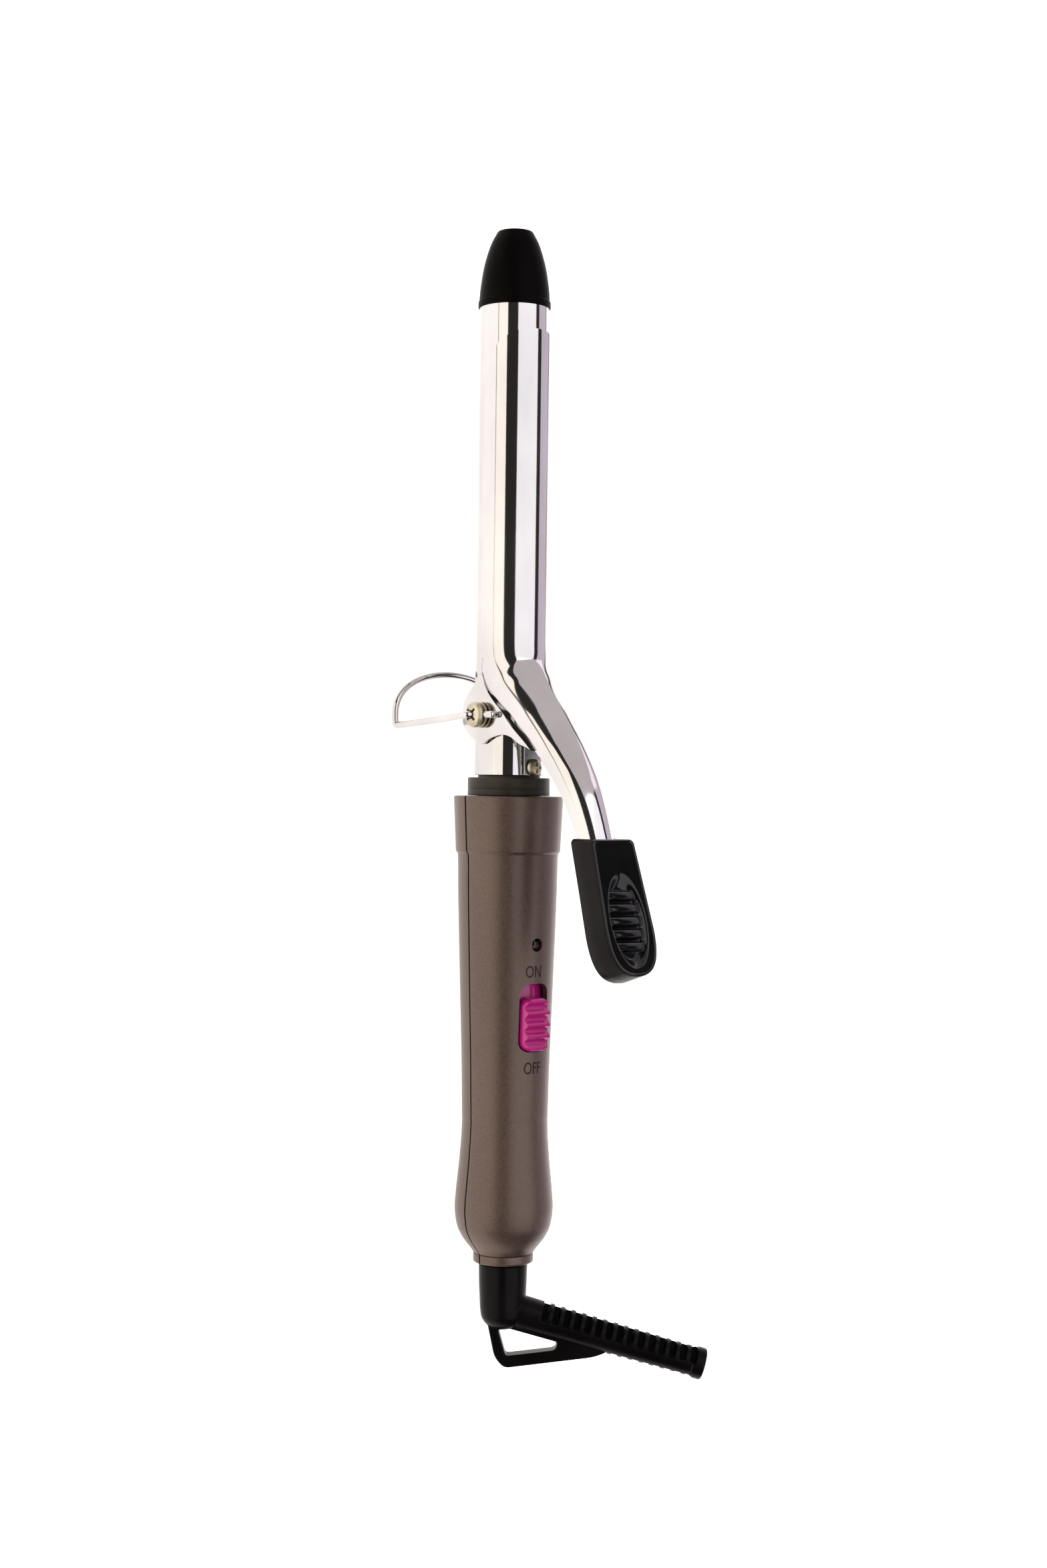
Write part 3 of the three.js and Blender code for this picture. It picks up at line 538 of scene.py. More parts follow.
def make_finishes(colours):
    """Every finish by a short name, from what each real surface is and how it was made."""
    collar, tip, vinyl, slide = colours.collar, colours.tip, colours.outlet, colours.slide
    return {
        "chrome": polished_chrome(colours.chrome),
        "paint": bronze_paint(colours.handle),
        # Heat-resistant PBT, moulded satin: a soft broad highlight on olive brown
        "collar": moulded("moulded_pbt", shaded(collar, 0.75), collar, 0.36, 0.25, 0.004, shine=0.12),
        # Glass-filled nylon with a spark-eroded tool texture: matte black with a fine sparkle of grain
        "cap": moulded("spark_textured_nylon", shaded(tip, 0.6), tip, 0.38, 0.28, 0.02, shine=0.02),
        # ABS from a polished tool: deep black with a hard, clear reflection
        "gloss": moulded("polished_abs", "#070707", "#0B0B0C", 0.12, 1.5, 0.001, shine=0.35),
        # ABS from a blasted tool: satin black sides
        "satin": moulded("blasted_abs", "#0B0808", "#120E0D", 0.34, 0.3, 0.008, shine=0.06),
        # Flexible PVC: satin, a little greyer where it has been handled
        "vinyl": moulded("moulded_pvc", shaded(vinyl, 0.6), vinyl, 0.3, 0.35, 0.008, shine=0.07),
        # The same PVC on the slots' floors, drawn matt and nearly black as painted shade, for the dark
        # inside the real open slots
        "shade": moulded("painted_shade_pvc", "#020202", "#040303", 0.6, 0.35, 0.008, shine=0.01),
        # ABS coloured through, from a half-polished tool: clear highlights along its ridges
        "magenta": moulded("magenta_abs", shaded(slide, 0.82), slide, 0.2, 0.3, 0.004),
        "lens": smoked_lens(),
        # Screws tumbled and plated in yellow zinc, dulled by handling
        "zinc": metal("yellow_zinc_plate", "#A39A84", "#C6BDA6", 0.4, 0.25),
        "spring": metal("rolled_spring_steel", "#8A8A8C", "#ABABAD", 0.28, 0.2, (1, 12, 1)),
        "brass": metal("stamped_brass", "#A9853F", "#C29C52", 0.32, 0.3),
        "aluminium": metal("extruded_aluminium", "#A2A4A6", "#B7B9BB", 0.38, 0.25, (1, 20, 1)),
        "ceramic": moulded("fired_alumina", "#DED8CA", "#EFEADF", 0.7, 0.3, 0.01),
        "phenolic": moulded("moulded_phenolic", "#33251B", "#44332A", 0.55, 0.4, 0.01),
        "amber": moulded(
            "amber_glass", "#C8661A", "#F09A38", 0.08, 2, 0.001, **{"Transmission Weight": 0.5},
        ),
        "board": moulded("paper_laminate", "#29543A", "#35674A", 0.5, 0.6, 0.01),
        "red": moulded("red_silicone", "#8F271F", "#A7352B", 0.55, 0.4, 0.01),
        "white": moulded("white_silicone", "#D4CFC4", "#E6E2D9", 0.55, 0.4, 0.01),
        # Grey-brown pad-printing ink, slightly thin in places
        "ink": moulded("pad_printing_ink", "#1F1A17", "#2B2521", 0.5, 0.3, 0.004, shine=0.1),
        # White acrylic sheet lit from behind, as a product table is
        "floor": moulded(
            "lit_white_acrylic", shaded(colours.floor, 0.95), colours.floor, 0.85, 2.5, 0.01,
            **{"Emission Color": linear("#FFFBF2"), "Emission Strength": 0.95},
        ),
    }


FINISHES = {}
CAD_FINISHES = {
    "spring": ["handle_screw_1", "handle_screw_2", "pivot_crossbar", "thermal_fuse", "contact_brush_live",
               "contact_brush_neutral"],
    "aluminium": ["heat_spreader_front", "heat_spreader_rear"],
    "ceramic": ["heater_element", "indicator_resistor"],
    "phenolic": ["barrel_bushing", "swivel_hub"],
    "brass": ["switch_terminal_1", "switch_terminal_2", "contact_ring_live", "contact_ring_neutral"],
    "satin": ["switch_body"],
    "board": ["indicator_board"],
    "amber": ["indicator_lamp"],
    "red": ["live_lead", "feed_lead"],
    "white": ["neutral_lead"],
}


def dress(made, finish, *nodes):
    """Gives a piece its finish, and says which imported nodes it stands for."""
    made.data.materials.clear()
    made.data.materials.append(FINISHES[finish])
    if nodes:
        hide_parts(*nodes)
    return made


# Barrel, cap and collar


def build_barrel():
    bore = BARREL_R - BARREL_WALL
    profile = [
        (bore, BARREL_REAR), (BARREL_R, BARREL_REAR, 0.2), (BARREL_R, BARREL_TIP - 0.1),
        (bore, BARREL_TIP - 0.1), (bore, BARREL_REAR),
    ]
    barrel = piece("barrel", "iron_body", turned(rounded(profile), 160))
    holes = [
        drill(PIVOT_HOLE_R, (-12, 0, PIVOT_Z), (12, 0, PIVOT_Z)),
        drill(SPRING_HOLE_R, (0, SPRING_SCREW_Y, 5), (0, SPRING_SCREW_Y, 12)),
    ]
    dress(carve(barrel, holes), "chrome", "barrel_tube")


def cap_profile():
    crown = spline([(5.0, 131.7), (6.75, 128.2), (8.39, 122.7), (9.3, 117.2), (9.66, 113.2)], 8)
    lip = BARREL_TIP + 0.05
    return (
        [(0, CAP_TOP), (4.2, CAP_TOP), (4.7, CAP_TOP - 0.12)]
        + crown
        + rounded([(9.7, 112.9), (CAP_LIP_R, 112.7, 0.15), (CAP_LIP_R, lip, 0.2), (8.4, lip), (8.4, 101)])
        + [(6.6, 101), (6.6, 114), (0, 114)]
    )


def build_cap():
    dress(piece("cool_tip", "iron_body", turned(cap_profile(), 128)), "cap", "tip_cap")


def build_collar():
    low, middle = HANDLE_FRONT + 0.1, COLLAR_FRONT - 3.2
    profile = [
        (8.8, COLLAR_FRONT), (COLLAR_R, COLLAR_FRONT, 0.5), (COLLAR_R, middle + 0.12),
        (COLLAR_R - 0.08, middle), (COLLAR_R, middle - 0.12), (COLLAR_R + 0.05, low, 0.2), (8.8, low),
        (8.8, COLLAR_FRONT),
    ]
    dress(piece("collar", "iron_body", turned(rounded(profile), 128)), "collar", "heat_collar")


# Handle


def grip_outline():
    """The handle's outside, from its mouth to its tail, as (radius, y)."""
    mouth = rounded([
        (13.2, HANDLE_FRONT), (14.95, HANDLE_FRONT, 0.6), (14.25, HANDLE_STEP + 0.3, 0.35),
        (13.72, HANDLE_STEP - 0.25, 0.3), (13.62, HANDLE_STEP - 2),
    ])
    grip = spline([(13.6, -40), (13.4, -50.9), (12.7, -72.7), (12.0, -94.6), (11.7, -109)], 8)
    grip += spline([
        (11.62, -109.5), (11.85, -115), (12.4, -122), (13.1, -129), (BULB_R, BULB_Y), (12.8, -138.5),
        (11.65, -141.2), (10.45, -143), (9.0, -144.8), (8.2, HANDLE_TAIL),
    ], 8)
    return mouth + grip


def grip_radius(y):
    outline = [p for p in grip_outline() if HANDLE_TAIL < p[1] < HANDLE_STEP - 2]
    (r0, y0), (r1, y1) = next((a, b) for a, b in zip(outline, outline[1:]) if b[1] <= y)
    return r0 + (r1 - r0) * (y - y0) / (y1 - y0)


def shell_profile():
    outer = grip_outline()
    front, tail = HANDLE_FRONT - 2, HANDLE_TAIL + SHELL_WALL
    inner = [(r - SHELL_WALL, y) for r, y in outer if tail < y < front][::-4]
    return (
        [(9, HANDLE_FRONT)] + outer + [(6.9, HANDLE_TAIL), (6.9, tail), (inner[0][0] - 1, tail)] + inner
        + [(inner[-1][0], front), (9, front), (9, HANDLE_FRONT)]
    )


def half_shell(name, side):
    """One half of the handle, whose edges stand back from the other half by the seam."""
    slack = SEAM / 2 / BULB_R
    start = -math.pi / 2 + slack if side > 0 else math.pi / 2 + slack
    return piece(name, "iron_body", turned(shell_profile(), 96, start, math.pi - 2 * slack))


def build_front_shell():
    shell = half_shell("handle_front", 1)
    slot = piece(
        "slot_cutter", None,
        extruded(rounded_rectangle(SLOT_WIDTH, SLOT_LENGTH, 3), 5, 20,
                 lambda u, v, h: (u, SLOT_FRONT - SLOT_LENGTH / 2 + v, h)),
    )
    lamp = drill(LAMP_HOLE_R, (0, LAMP_Y, 5), (0, LAMP_Y, 20))
    dress(carve(shell, [slot, lamp]), "paint", "handle_front_shell")


def build_rear_shell():
    shell = half_shell("handle_rear", -1)
    holes = []
    for low, high in (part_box(f"handle_screw_{i}") for i in (1, 2)):
        middle = IRON.inverted() @ ((low + high) / 2)
        holes.append(drill(3.0, (0, middle.y, -8.5), (0, middle.y, -20)))
    dress(carve(shell, holes), "paint", "handle_rear_shell")


def build_tail_ring():
    profile = [
        (5.3, -148.7), (8.2, -148.7, 0.7), (8.2, HANDLE_TAIL - 0.15, 0.25), (6.5, HANDLE_TAIL - 0.15),
        (6.5, -143.9), (7.4, -143.9), (7.4, -142.4), (5.3, -142.4), (5.3, -148.7),
    ]
    ring = piece("tail_collar", "iron_body", turned(rounded(profile), 96))
    grooves = []
    for side in (-1, 1):
        low, high = sorted((side * 7.7, side * 9))
        groove = [(-148.9, -SEAM / 2), (-145.9, -SEAM / 2), (-145.9, SEAM / 2), (-148.9, SEAM / 2)]
        grooves.append(piece("seam", None, extruded(groove, low, high, from_side)))
    dress(carve(ring, grooves), "paint", "tail_ring")


def slider_top(_x, y, share):
    """How far the thumb slide's top stands up, with its five ridges."""
    ridge = bpy.context.scene.curling_iron_sizes.ridge_height / MM
    rise = 0.0
    for step in range(-2, 3):
        height = ridge if abs(step) < 2 else ridge * 0.75
        away = abs(y - step * RIDGE_PITCH) / (RIDGE_PITCH / 2)
        rise = max(rise, height * (0.5 + 0.5 * math.cos(math.pi * min(away, 1))) ** 1.1)
    return -rise * smoothstep(1.0, 0.93, share)


def build_slider():
    rear = SLOT_FRONT - SLOT_LENGTH + 0.25
    middle = rear + SLIDER_LENGTH / 2

    def at_slot(u, v, depth):
        return u, middle + v, 13.05 - depth

    section = [(0, 3.7), (0.6, 3.7), (1, 3.7), (1, 2.5), (1, 1.0), (1, 0.45)]
    section += [(0.985, 0.2), (0.96, 0.06), (0.93, 0)] + [(0.9 - 0.9 * i / 30, 0) for i in range(31)]
    outline = rounded_rectangle(SLIDER_WIDTH, SLIDER_LENGTH, 2.7, 8)
    dense = resample(outline, 0.22)
    form = padded_form(dense, (-3.2, 3.2), section, at_slot, slider_top)
    slider = piece("thumb_slide", "slider", form, sharp=50)
    inner, outer, low, high = 9.1, 10.1, rear - 3.3, rear + SLIDER_LENGTH + 6.5
    reach = math.asin(7.6 / outer)
    plan = [(inner, low), (outer, low), (outer, high), (inner, high), (inner, low)]
    plate = turned(plan, 20, -reach, 2 * reach)
    carve(slider, [piece("slide_plate", None, plate)], "UNION", sharp=50)
    dress(slider, "magenta", "switch_slider")


def resample(outline, pitch):
    """The closed outline again, with points no further apart than pitch."""
    dense = []
    for a, b in zip(outline, outline[1:] + outline[:1]):
        count = max(1, math.ceil(math.dist(a, b) / pitch))
        dense += [tuple(p + (q - p) * k / count for p, q in zip(a, b)) for k in range(count)]
    return [p for i, p in enumerate(dense) if math.dist(p, dense[i - 1]) > 1e-4]


def build_lens():
    profile = [
        (0, 9.4), (2.6, 9.4), (2.6, 10.4), (1.5, 10.4), (1.62, 12.0, 0.3), (1.2, 12.35), (0.7, 12.5),
        (0, 12.55),
    ]
    lens = piece("lamp_lens", "iron_body", turned(rounded(profile), 48), upright(0, LAMP_Y, 0))
    dress(lens, "lens", "indicator_lens")


def build_legend(word, middle, y):
    """A printed word by the switch, centred at (middle, y), wrapped on the handle, read with the tip up."""
    name = "legend_" + word
    curve = bpy.data.curves.new(name, "FONT")
    curve.body, curve.align_x, curve.align_y = word, "CENTER", "CENTER"
    curve.size, curve.resolution_u = bpy.context.scene.curling_iron_sizes.legend_size / MM, 4
    text = add_object(name, curve)
    bpy.context.view_layer.update()
    mesh = bpy.data.meshes.new_from_object(text.evaluated_get(bpy.context.evaluated_depsgraph_get()))
    bpy.data.objects.remove(text)
    form = bmesh.new()
    form.from_mesh(mesh)
    bmesh.ops.remove_doubles(form, verts=form.verts, dist=1e-4)
    bmesh.ops.triangulate(form, faces=form.faces)
    bmesh.ops.subdivide_edges(form, edges=[e for e in form.edges if e.calc_length() > 0.5], cuts=2)
    for vert in form.verts:
        x, along = middle + vert.co.x * 0.72, y + vert.co.y
        vert.co = (x, along, math.sqrt(grip_radius(along) ** 2 - x * x) + 0.012)
    solid = bmesh.ops.extrude_face_region(form, geom=form.faces[:])
    for vert in [g for g in solid["geom"] if isinstance(g, bmesh.types.BMVert)]:
        vert.co += Vector((vert.co.x, 0, vert.co.z)).normalized() * 0.03
    bmesh.ops.recalc_face_normals(form, faces=form.faces)
    form.to_mesh(mesh)
    form.free()
    mesh.name = name
    mesh.transform(IRON)
    legend = add_object(name, mesh)
    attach(legend, "iron_body")
    dress(legend, "ink")


# Clamp, thumb rest and pivot

# The lever's height and half width, and the line where its ears begin, each as (y, value) rows
LEVER_TOP = [
    (CLAMP_PEAK, CLAMP_R), (20, CLAMP_R - 0.1), (16.6, 10.6), (10, 14), (0.6, 21.9), (-8, 28.7),
    (-16.5, 34.2), (-23.5, 37.5), (-31.4, 40.4), (-34, 41.2),
]
LEVER_WIDTH = [
    (CLAMP_PEAK, CLAMP_R), (40, CLAMP_R), (16.6, 10.4), (10, 10.3), (0.6, 9.2), (-8, 8.0),
    (-16.5, 6.8), (-23.5, 5.95), (-31.4, 5.3), (-34, 5.2),
]
EAR_CREASE = [(17, 1), (11, 1.5), (5.2, 6.9), (-1.8, 12.1), (-6.6, 17.3), (-9.5, 20.5), (-11, 22)]
# The clamp's lower edge seen from the side, as (y, z)
CLAMP_SIDE = [
    (11.5, -0.4), (8.7, -2), (6.6, -4.3), (3.6, -6.6), (0.5, -7.4), (-3, -6.6), (-6, -3.4), (-7.85, 1.2),
    (-6.2, 5), (-5.4, 9.5), (-6, 13), (-7.9, 16.2), (-9.85, 20.6), (-14.7, 24.3),
]


def cover_at(y):
    """Half the angle of the barrel that the clamp's sheet covers, in degrees."""
    if y > TONGUE_STRAIGHT:
        reach = (y - TONGUE_STRAIGHT) / (CLAMP_PEAK - TONGUE_STRAIGHT)
        return CLAMP_COVER * math.sqrt(max(1 - reach * reach, 0))
    if y > 16:
        return CLAMP_COVER + (REAR_COVER - CLAMP_COVER) * (1 - smoothstep(16, 56, y))
    return REAR_COVER + 6 * smoothstep(16, 10, y)


def clamp_section(y, inset):
    """The clamp's section at y as (x, z) from its left edge to its right, moved in by inset."""
    slope = (smooth_table(LEVER_TOP, y - 1) - smooth_table(LEVER_TOP, y + 1)) / 2
    rise = math.hypot(1, slope)
    wide = smooth_table(LEVER_WIDTH, y) - inset
    top = smooth_table(LEVER_TOP, y) - inset * rise
    ear = smoothstep(16.4, 13.5, y) * smoothstep(-12.2, -10.6, y)
    depth = wide * (1 + (rise - 1) * smoothstep(17, 14, y))
    cover = math.radians(cover_at(y))

    def on_arch(angle):
        return [wide * math.sin(angle), top - depth * (1 - math.cos(angle))]

    arch = [on_arch(cover * i / 24) for i in range(25)]
    crease = min(smooth_table(EAR_CREASE, y), arch[-1][1] - 0.1)
    skirt = []
    for i in range(13):
        share = i / 12
        z = crease * (1 - share) - 8 * share
        lean = smoothstep(6, 22, z)
        x = (EAR_X - inset) * (1 - lean) + min(EAR_X, wide + inset + 1.3) * lean - inset * lean
        skirt.append([x, z])
    tuck = [on_arch(cover + 0.004 * (i + 1)) for i in range(13)]
    lower = [[a[0] * ear + b[0] * (1 - ear), a[1] * ear + b[1] * (1 - ear)] for a, b in zip(skirt, tuck)]
    half = arch + lower
    return [(-x, z) for x, z in half[:0:-1]] + [tuple(p) for p in half]


def clamp_stations():
    tongue = [math.radians(90 - 87 * i / 26) for i in range(27)]
    stations = [TONGUE_STRAIGHT + (CLAMP_PEAK - TONGUE_STRAIGHT) * math.sin(a) for a in tongue]
    stations += [TONGUE_STRAIGHT - 2.5 * i for i in range(1, 29)]
    y = stations[-1]
    while y > -34:
        y -= 0.7
        stations.append(max(y, -34))
    return [s for s in stations if s < CLAMP_PEAK - 0.01]


def build_clamp():
    rings = []
    for y in clamp_stations():
        loop = clamp_section(y, 0) + clamp_section(y, SHEET)[::-1]
        rings.append([(x, y, z) for x, z in loop])
    count = len(rings[0])
    faces = skin(len(rings), count)
    for first in (0, (len(rings) - 1) * count):
        last = first + count - 1
        faces += [(first + i, first + i + 1, last - 1 - i, last - i) for i in range(count // 2 - 1)]
    clamp = piece("clamp_lever", "clamp_lever", ([p for ring in rings for p in ring], faces))
    side = [(125, -0.6)] + spline(CLAMP_SIDE, 6) + [(-45, 28), (-45, 60), (125, 60)]
    trim = piece("clamp_trim", None, extruded(side, -20, 20, from_side))
    carve(clamp, [trim], "INTERSECT", sharp=40)
    tang = [(-3.4, -44), (3.4, -44), (3.4, -32.6), (-3.4, -32.6)]
    carve(clamp, [piece("tang", None, extruded(tang, 38.2, 39.4, as_drawn))], "UNION", sharp=40)
    carve(clamp, [drill(PIVOT_HOLE_R, (-20, 0, PIVOT_Z), (20, 0, PIVOT_Z))], sharp=40)
    dress(clamp, "chrome", "clamp")


def bezier(a, b, c, d):
    curve, steps = [], 14
    for i in range(1, steps + 1):
        t = i / steps
        weights = ((1 - t) ** 3, 3 * t * (1 - t) ** 2, 3 * t * t * (1 - t), t**3)
        curve.append(tuple(sum(w * p[k] for w, p in zip(weights, (a, b, c, d))) for k in (0, 1)))
    return curve


def thumb_outline():
    high, end = THUMB_LENGTH - 12, THUMB_LENGTH
    right = rounded([(0, 0), (6.4, 0, 0.5), (7.2, 0.8, 0.5), (8.3, high)])
    right += bezier((8.3, high), (8.3, end - 2), (4.5, end), (0, end))
    left = [(-x, v) for x, v in right[-2:0:-1]]
    return resample(right + left, 0.22)


def thumb_top(u, v, _share):
    """How deep the thumb rest's face is, with an oval dish and raised ribs across it."""
    sizes = bpy.context.scene.curling_iron_sizes
    reach = math.hypot(u / DISH_HALF_WIDE, (v - DISH_MIDDLE) / DISH_HALF_LONG)
    if reach >= 1:
        return 0.0
    dish = DISH_DEPTH * smoothstep(1.0, 0.72, reach)
    rib = 0.0
    for step in range(-2, 3):
        away = abs(v - RIB_MIDDLE - step * RIB_PITCH)
        rib = max(rib, smoothstep(1.5, 0.8, away) * (1 - 0.1 * away))
    crown = 0.3 + 0.5 * ((u + 2.4) / DISH_HALF_WIDE) ** 2
    return dish - rib * max(min(dish - crown, sizes.rib_height / MM), 0)


def build_thumb_rest():
    section = [(0, THUMB_THICK), (0.9, THUMB_THICK), (0.97, THUMB_THICK - 0.25), (1, THUMB_THICK - 0.8)]
    section += [(1, 4.5), (1, 1.2), (1, 0.55), (0.99, 0.22), (0.968, 0.05), (0.945, 0.0)]
    section += [(0.925, 0.03), (0.91, 0.14)]
    section += [(0.9 * (1 - i / 44), 0.16) for i in range(45)]
    outline = thumb_outline()

    def at_rest(u, v, depth):
        return u, v - depth * math.tan(THUMB_SLOPE) * smoothstep(13, 0, v), depth

    form = padded_form(outline, (7.5, 28), section, at_rest, thumb_top)
    rest = piece("thumb_rest_pad", "clamp_lever", form, THUMB, sharp=75)
    slots = [((-3.7, -44.4, 37.9), (3.7, -20, 39.7)), ((-5.8, -34.4, 30), (5.8, -20, 41.9))]
    cutters = []
    for low, high in slots:
        plan = [(low[0], low[1]), (high[0], low[1]), (high[0], high[1]), (low[0], high[1])]
        cutters.append(piece("rest_slot", None, extruded(plan, low[2], high[2], as_drawn)))
    carve(rest, cutters, sharp=75)
    dress(rest, "gloss", "thumb_rest")
    rest.data.materials.append(FINISHES["satin"])
    front = (THUMB.to_3x3() @ Vector((0, 0, -1))).normalized()
    to_pad = THUMB.inverted()
    for face in rest.data.polygons:
        middle = to_pad @ face.center
        across = middle.x / (DISH_HALF_WIDE + 0.1)
        along = (middle.y - DISH_MIDDLE) / (DISH_HALF_LONG + 0.1)
        in_dish = math.hypot(across, along) < 1 and middle.z < 3
        face.material_index = 0 if in_dish or face.normal.dot(front) > 0.45 else 1


def upright(x, y, z):
    """From a profile turned about Y to an axis that stands up from the iron at a point."""
    return IRON @ Matrix.Translation((x, y, z)) @ Matrix.Rotation(math.pi / 2, 4, "X")


def along_x(side):
    """From a profile turned about Y to the pivot's own axis, out to one side."""
    return IRON @ Matrix.Translation((0, 0, PIVOT_Z)) @ Matrix.Rotation(-side * math.pi / 2, 4, "Z")


def build_pivot():
    for word, side in (("near", -1), ("far", 1)):
        profile = rounded([
            (0, 5.6), (1.5, 5.6), (1.5, 11.8), (2.2, 11.8), (2.2, 12.4), (3.45, 12.4, 0.25),
            (3.45, 12.95, 0.35), (3.05, 13.65, 0.6), (2.2, 14.02, 0.5), (1.25, 14.15), (1.25, 12.8),
            (0, 12.8),
        ])
        screw = piece("screw_" + word, "iron_body", turned(profile, 64), along_x(side))
        cross = cross_cutter(2.15, 0.8, 13.1, 16, along_x(side) @ Matrix.Rotation(math.pi / 4, 4, "Y"))
        dress(carve(screw, [cross]), "zinc", f"pivot_screw_{word}")

        ring = [(1.8, 10.9), (3.45, 10.9, 0.12), (3.45, 11.5, 0.12), (1.8, 11.5), (1.8, 10.9)]
        washer = piece("washer_" + word, "iron_body", turned(rounded(ring), 64), along_x(side))
        low, high = (10.9, 11.5) if side > 0 else (-11.5, -10.9)
        plan = [(-0.9, 2.4), (0.9, 2.4), (0.9, 4.4), (-0.9, 4.4)]
        lift = Matrix.Translation((0, 0, PIVOT_Z))
        tab = piece("tab", None, extruded(plan, low, high, from_side), IRON @ lift)
        dome = [(0, 3.8), (0.95, 3.8), (0.95, 6.45), (0.9, 6.8), (0.74, 7.06), (0.45, 7.24), (0, 7.3)]
        stub = piece("stub", None, turned(dome, 32), upright(side * 11.85, 0, PIVOT_Z))
        carve(washer, [tab, stub], "UNION")
        dress(washer, "zinc", f"pivot_washer_{word}")
        washer.data.materials.append(FINISHES["chrome"])
        axis = IRON @ Vector((0, 0, PIVOT_Z))
        for face in washer.data.polygons:
            away = face.center - axis
            away.x = 0
            face.material_index = int(away.length > 3.8 * MM)


def build_spring():
    inside = [
        (-16, 9.85), (-8, 9.85), (-4.6, 11.2), (-3.4, 14), (-4.6, 17.5), (-9, 22.5), (-13.4, 27.6),
        (-15.2, 28.2),
    ]
    outside = [
        (-16, 10.35), (-8.2, 10.35), (-5.1, 11.5), (-3.9, 14), (-5.1, 17.2), (-9.4, 22.1), (-13.6, 27),
        (-15.2, 27.7),
    ]
    side = spline(inside, 5) + spline(outside, 5)[::-1]
    leaf = piece("leaf_spring", "iron_body", extruded(side, -2.8, 2.8, from_side))
    carve(leaf, [drill(SPRING_HOLE_R, (0, SPRING_SCREW_Y, 8), (0, SPRING_SCREW_Y, 12))])
    dress(leaf, "spring", "clamp_spring")
    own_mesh(leaf)
    profile = rounded([
        (0, 6.2), (1.2, 6.2), (1.2, 10.65), (2.35, 10.65, 0.2), (2.35, 11.25, 0.3), (1.75, 11.95, 0.4),
        (0, 12.2),
    ])
    fit = upright(0, SPRING_SCREW_Y, 0)
    screw = piece("leaf_spring_screw", "iron_body", turned(profile, 48), fit)
    dress(carve(screw, [cross_cutter(1.45, 0.55, 11.5, 14, fit)]), "zinc", "spring_screw")


def bail_path():
    leg = [
        (13.2, 0, 0), (14.5, 0, 0), (15.15, 0, -0.4), (15.35, 0, -1.4), (15.35, 0, -4), (15.6, 0, -9.5),
        (17.3, 0, -18), (19.1, 0, -25.4), (19.45, 0.25, -26.6),
    ]
    foot = []
    for i in range(25):
        angle = math.pi * i / 24
        swell = 1.3 + (FOOT_REACH - 1.3) * math.sin(angle) ** 0.8
        foot.append((-FOOT_HALF_WIDTH * math.cos(angle), swell, -LEG))
    return spline([(-x, y, z) for x, y, z in leg] + foot + leg[::-1], 6)


def build_stand():
    wire = piece("stand_wire", "stand", tube_along(bail_path(), 0.95), STAND, sharp=60)
    dress(wire, "chrome", "stand_bail")


# Cord outlet


def arm_radius(at):
    profile = [
        (-1, 4.5), (6, 4.75), (16, 4.5), (53.4, 4.02), (53.9, 4.32), (56.5, 4.3), (56.95, 4.05), (57, 3.8),
    ]
    (s0, r0), (s1, r1) = next((a, b) for a, b in zip(profile, profile[1:]) if at <= b[0] + 1e-6)
    return r0 + (r1 - r0) * (at - s0) / (s1 - s0)


def ribbed_arm():
    """The strain relief's arm along +Y from the elbow, with a row of open slots on each of two sides."""
    sizes = bpy.context.scene.curling_iron_sizes
    verts, sides = [], 72
    stations = [-1 + 0.145 * i for i in range(401)]
    for s in stations:
        radius = arm_radius(s)
        count = (s - FIRST_SLOT) / (sizes.slot_pitch / MM)
        phase = count - math.floor(count)
        slot = smoothstep(0.0, 0.05, phase) * smoothstep(SLOT_OPEN, SLOT_OPEN - 0.05, phase)
        if not 0 <= count < sizes.slot_count:
            slot = 0
        for k in range(sides):
            angle = 2 * math.pi * k / sides
            out = radius * math.sin(angle)
            if abs(out) > SLOT_FLOOR:
                out = math.copysign(abs(out) * (1 - slot) + SLOT_FLOOR * slot, out)
            verts.append((radius * math.cos(angle), s, out))
    return verts, skin(len(stations), sides) + end_caps(len(stations), sides)


def hanging_loop():
    """The outlines of the hanging loop's plate and of its hole."""
    plate = [
        (-5.2, -160), (-2.1, -174.6, 2.2), (0.6, -177.4, 1.4), (25, -174.2, 2), (29, -172.6, 1.5),
        (29, -169.4), (0, -161),
    ]
    start = [(-0.6, -166, 0.5)]
    hole = [(-1.2, -166.6, 0.5), (1.0, -174.1, 0.9), (14.4, -172.4, 2.2), (15, -170.2, 0.6)]
    return rounded(plate), rounded(start + hole + start)[:-1]


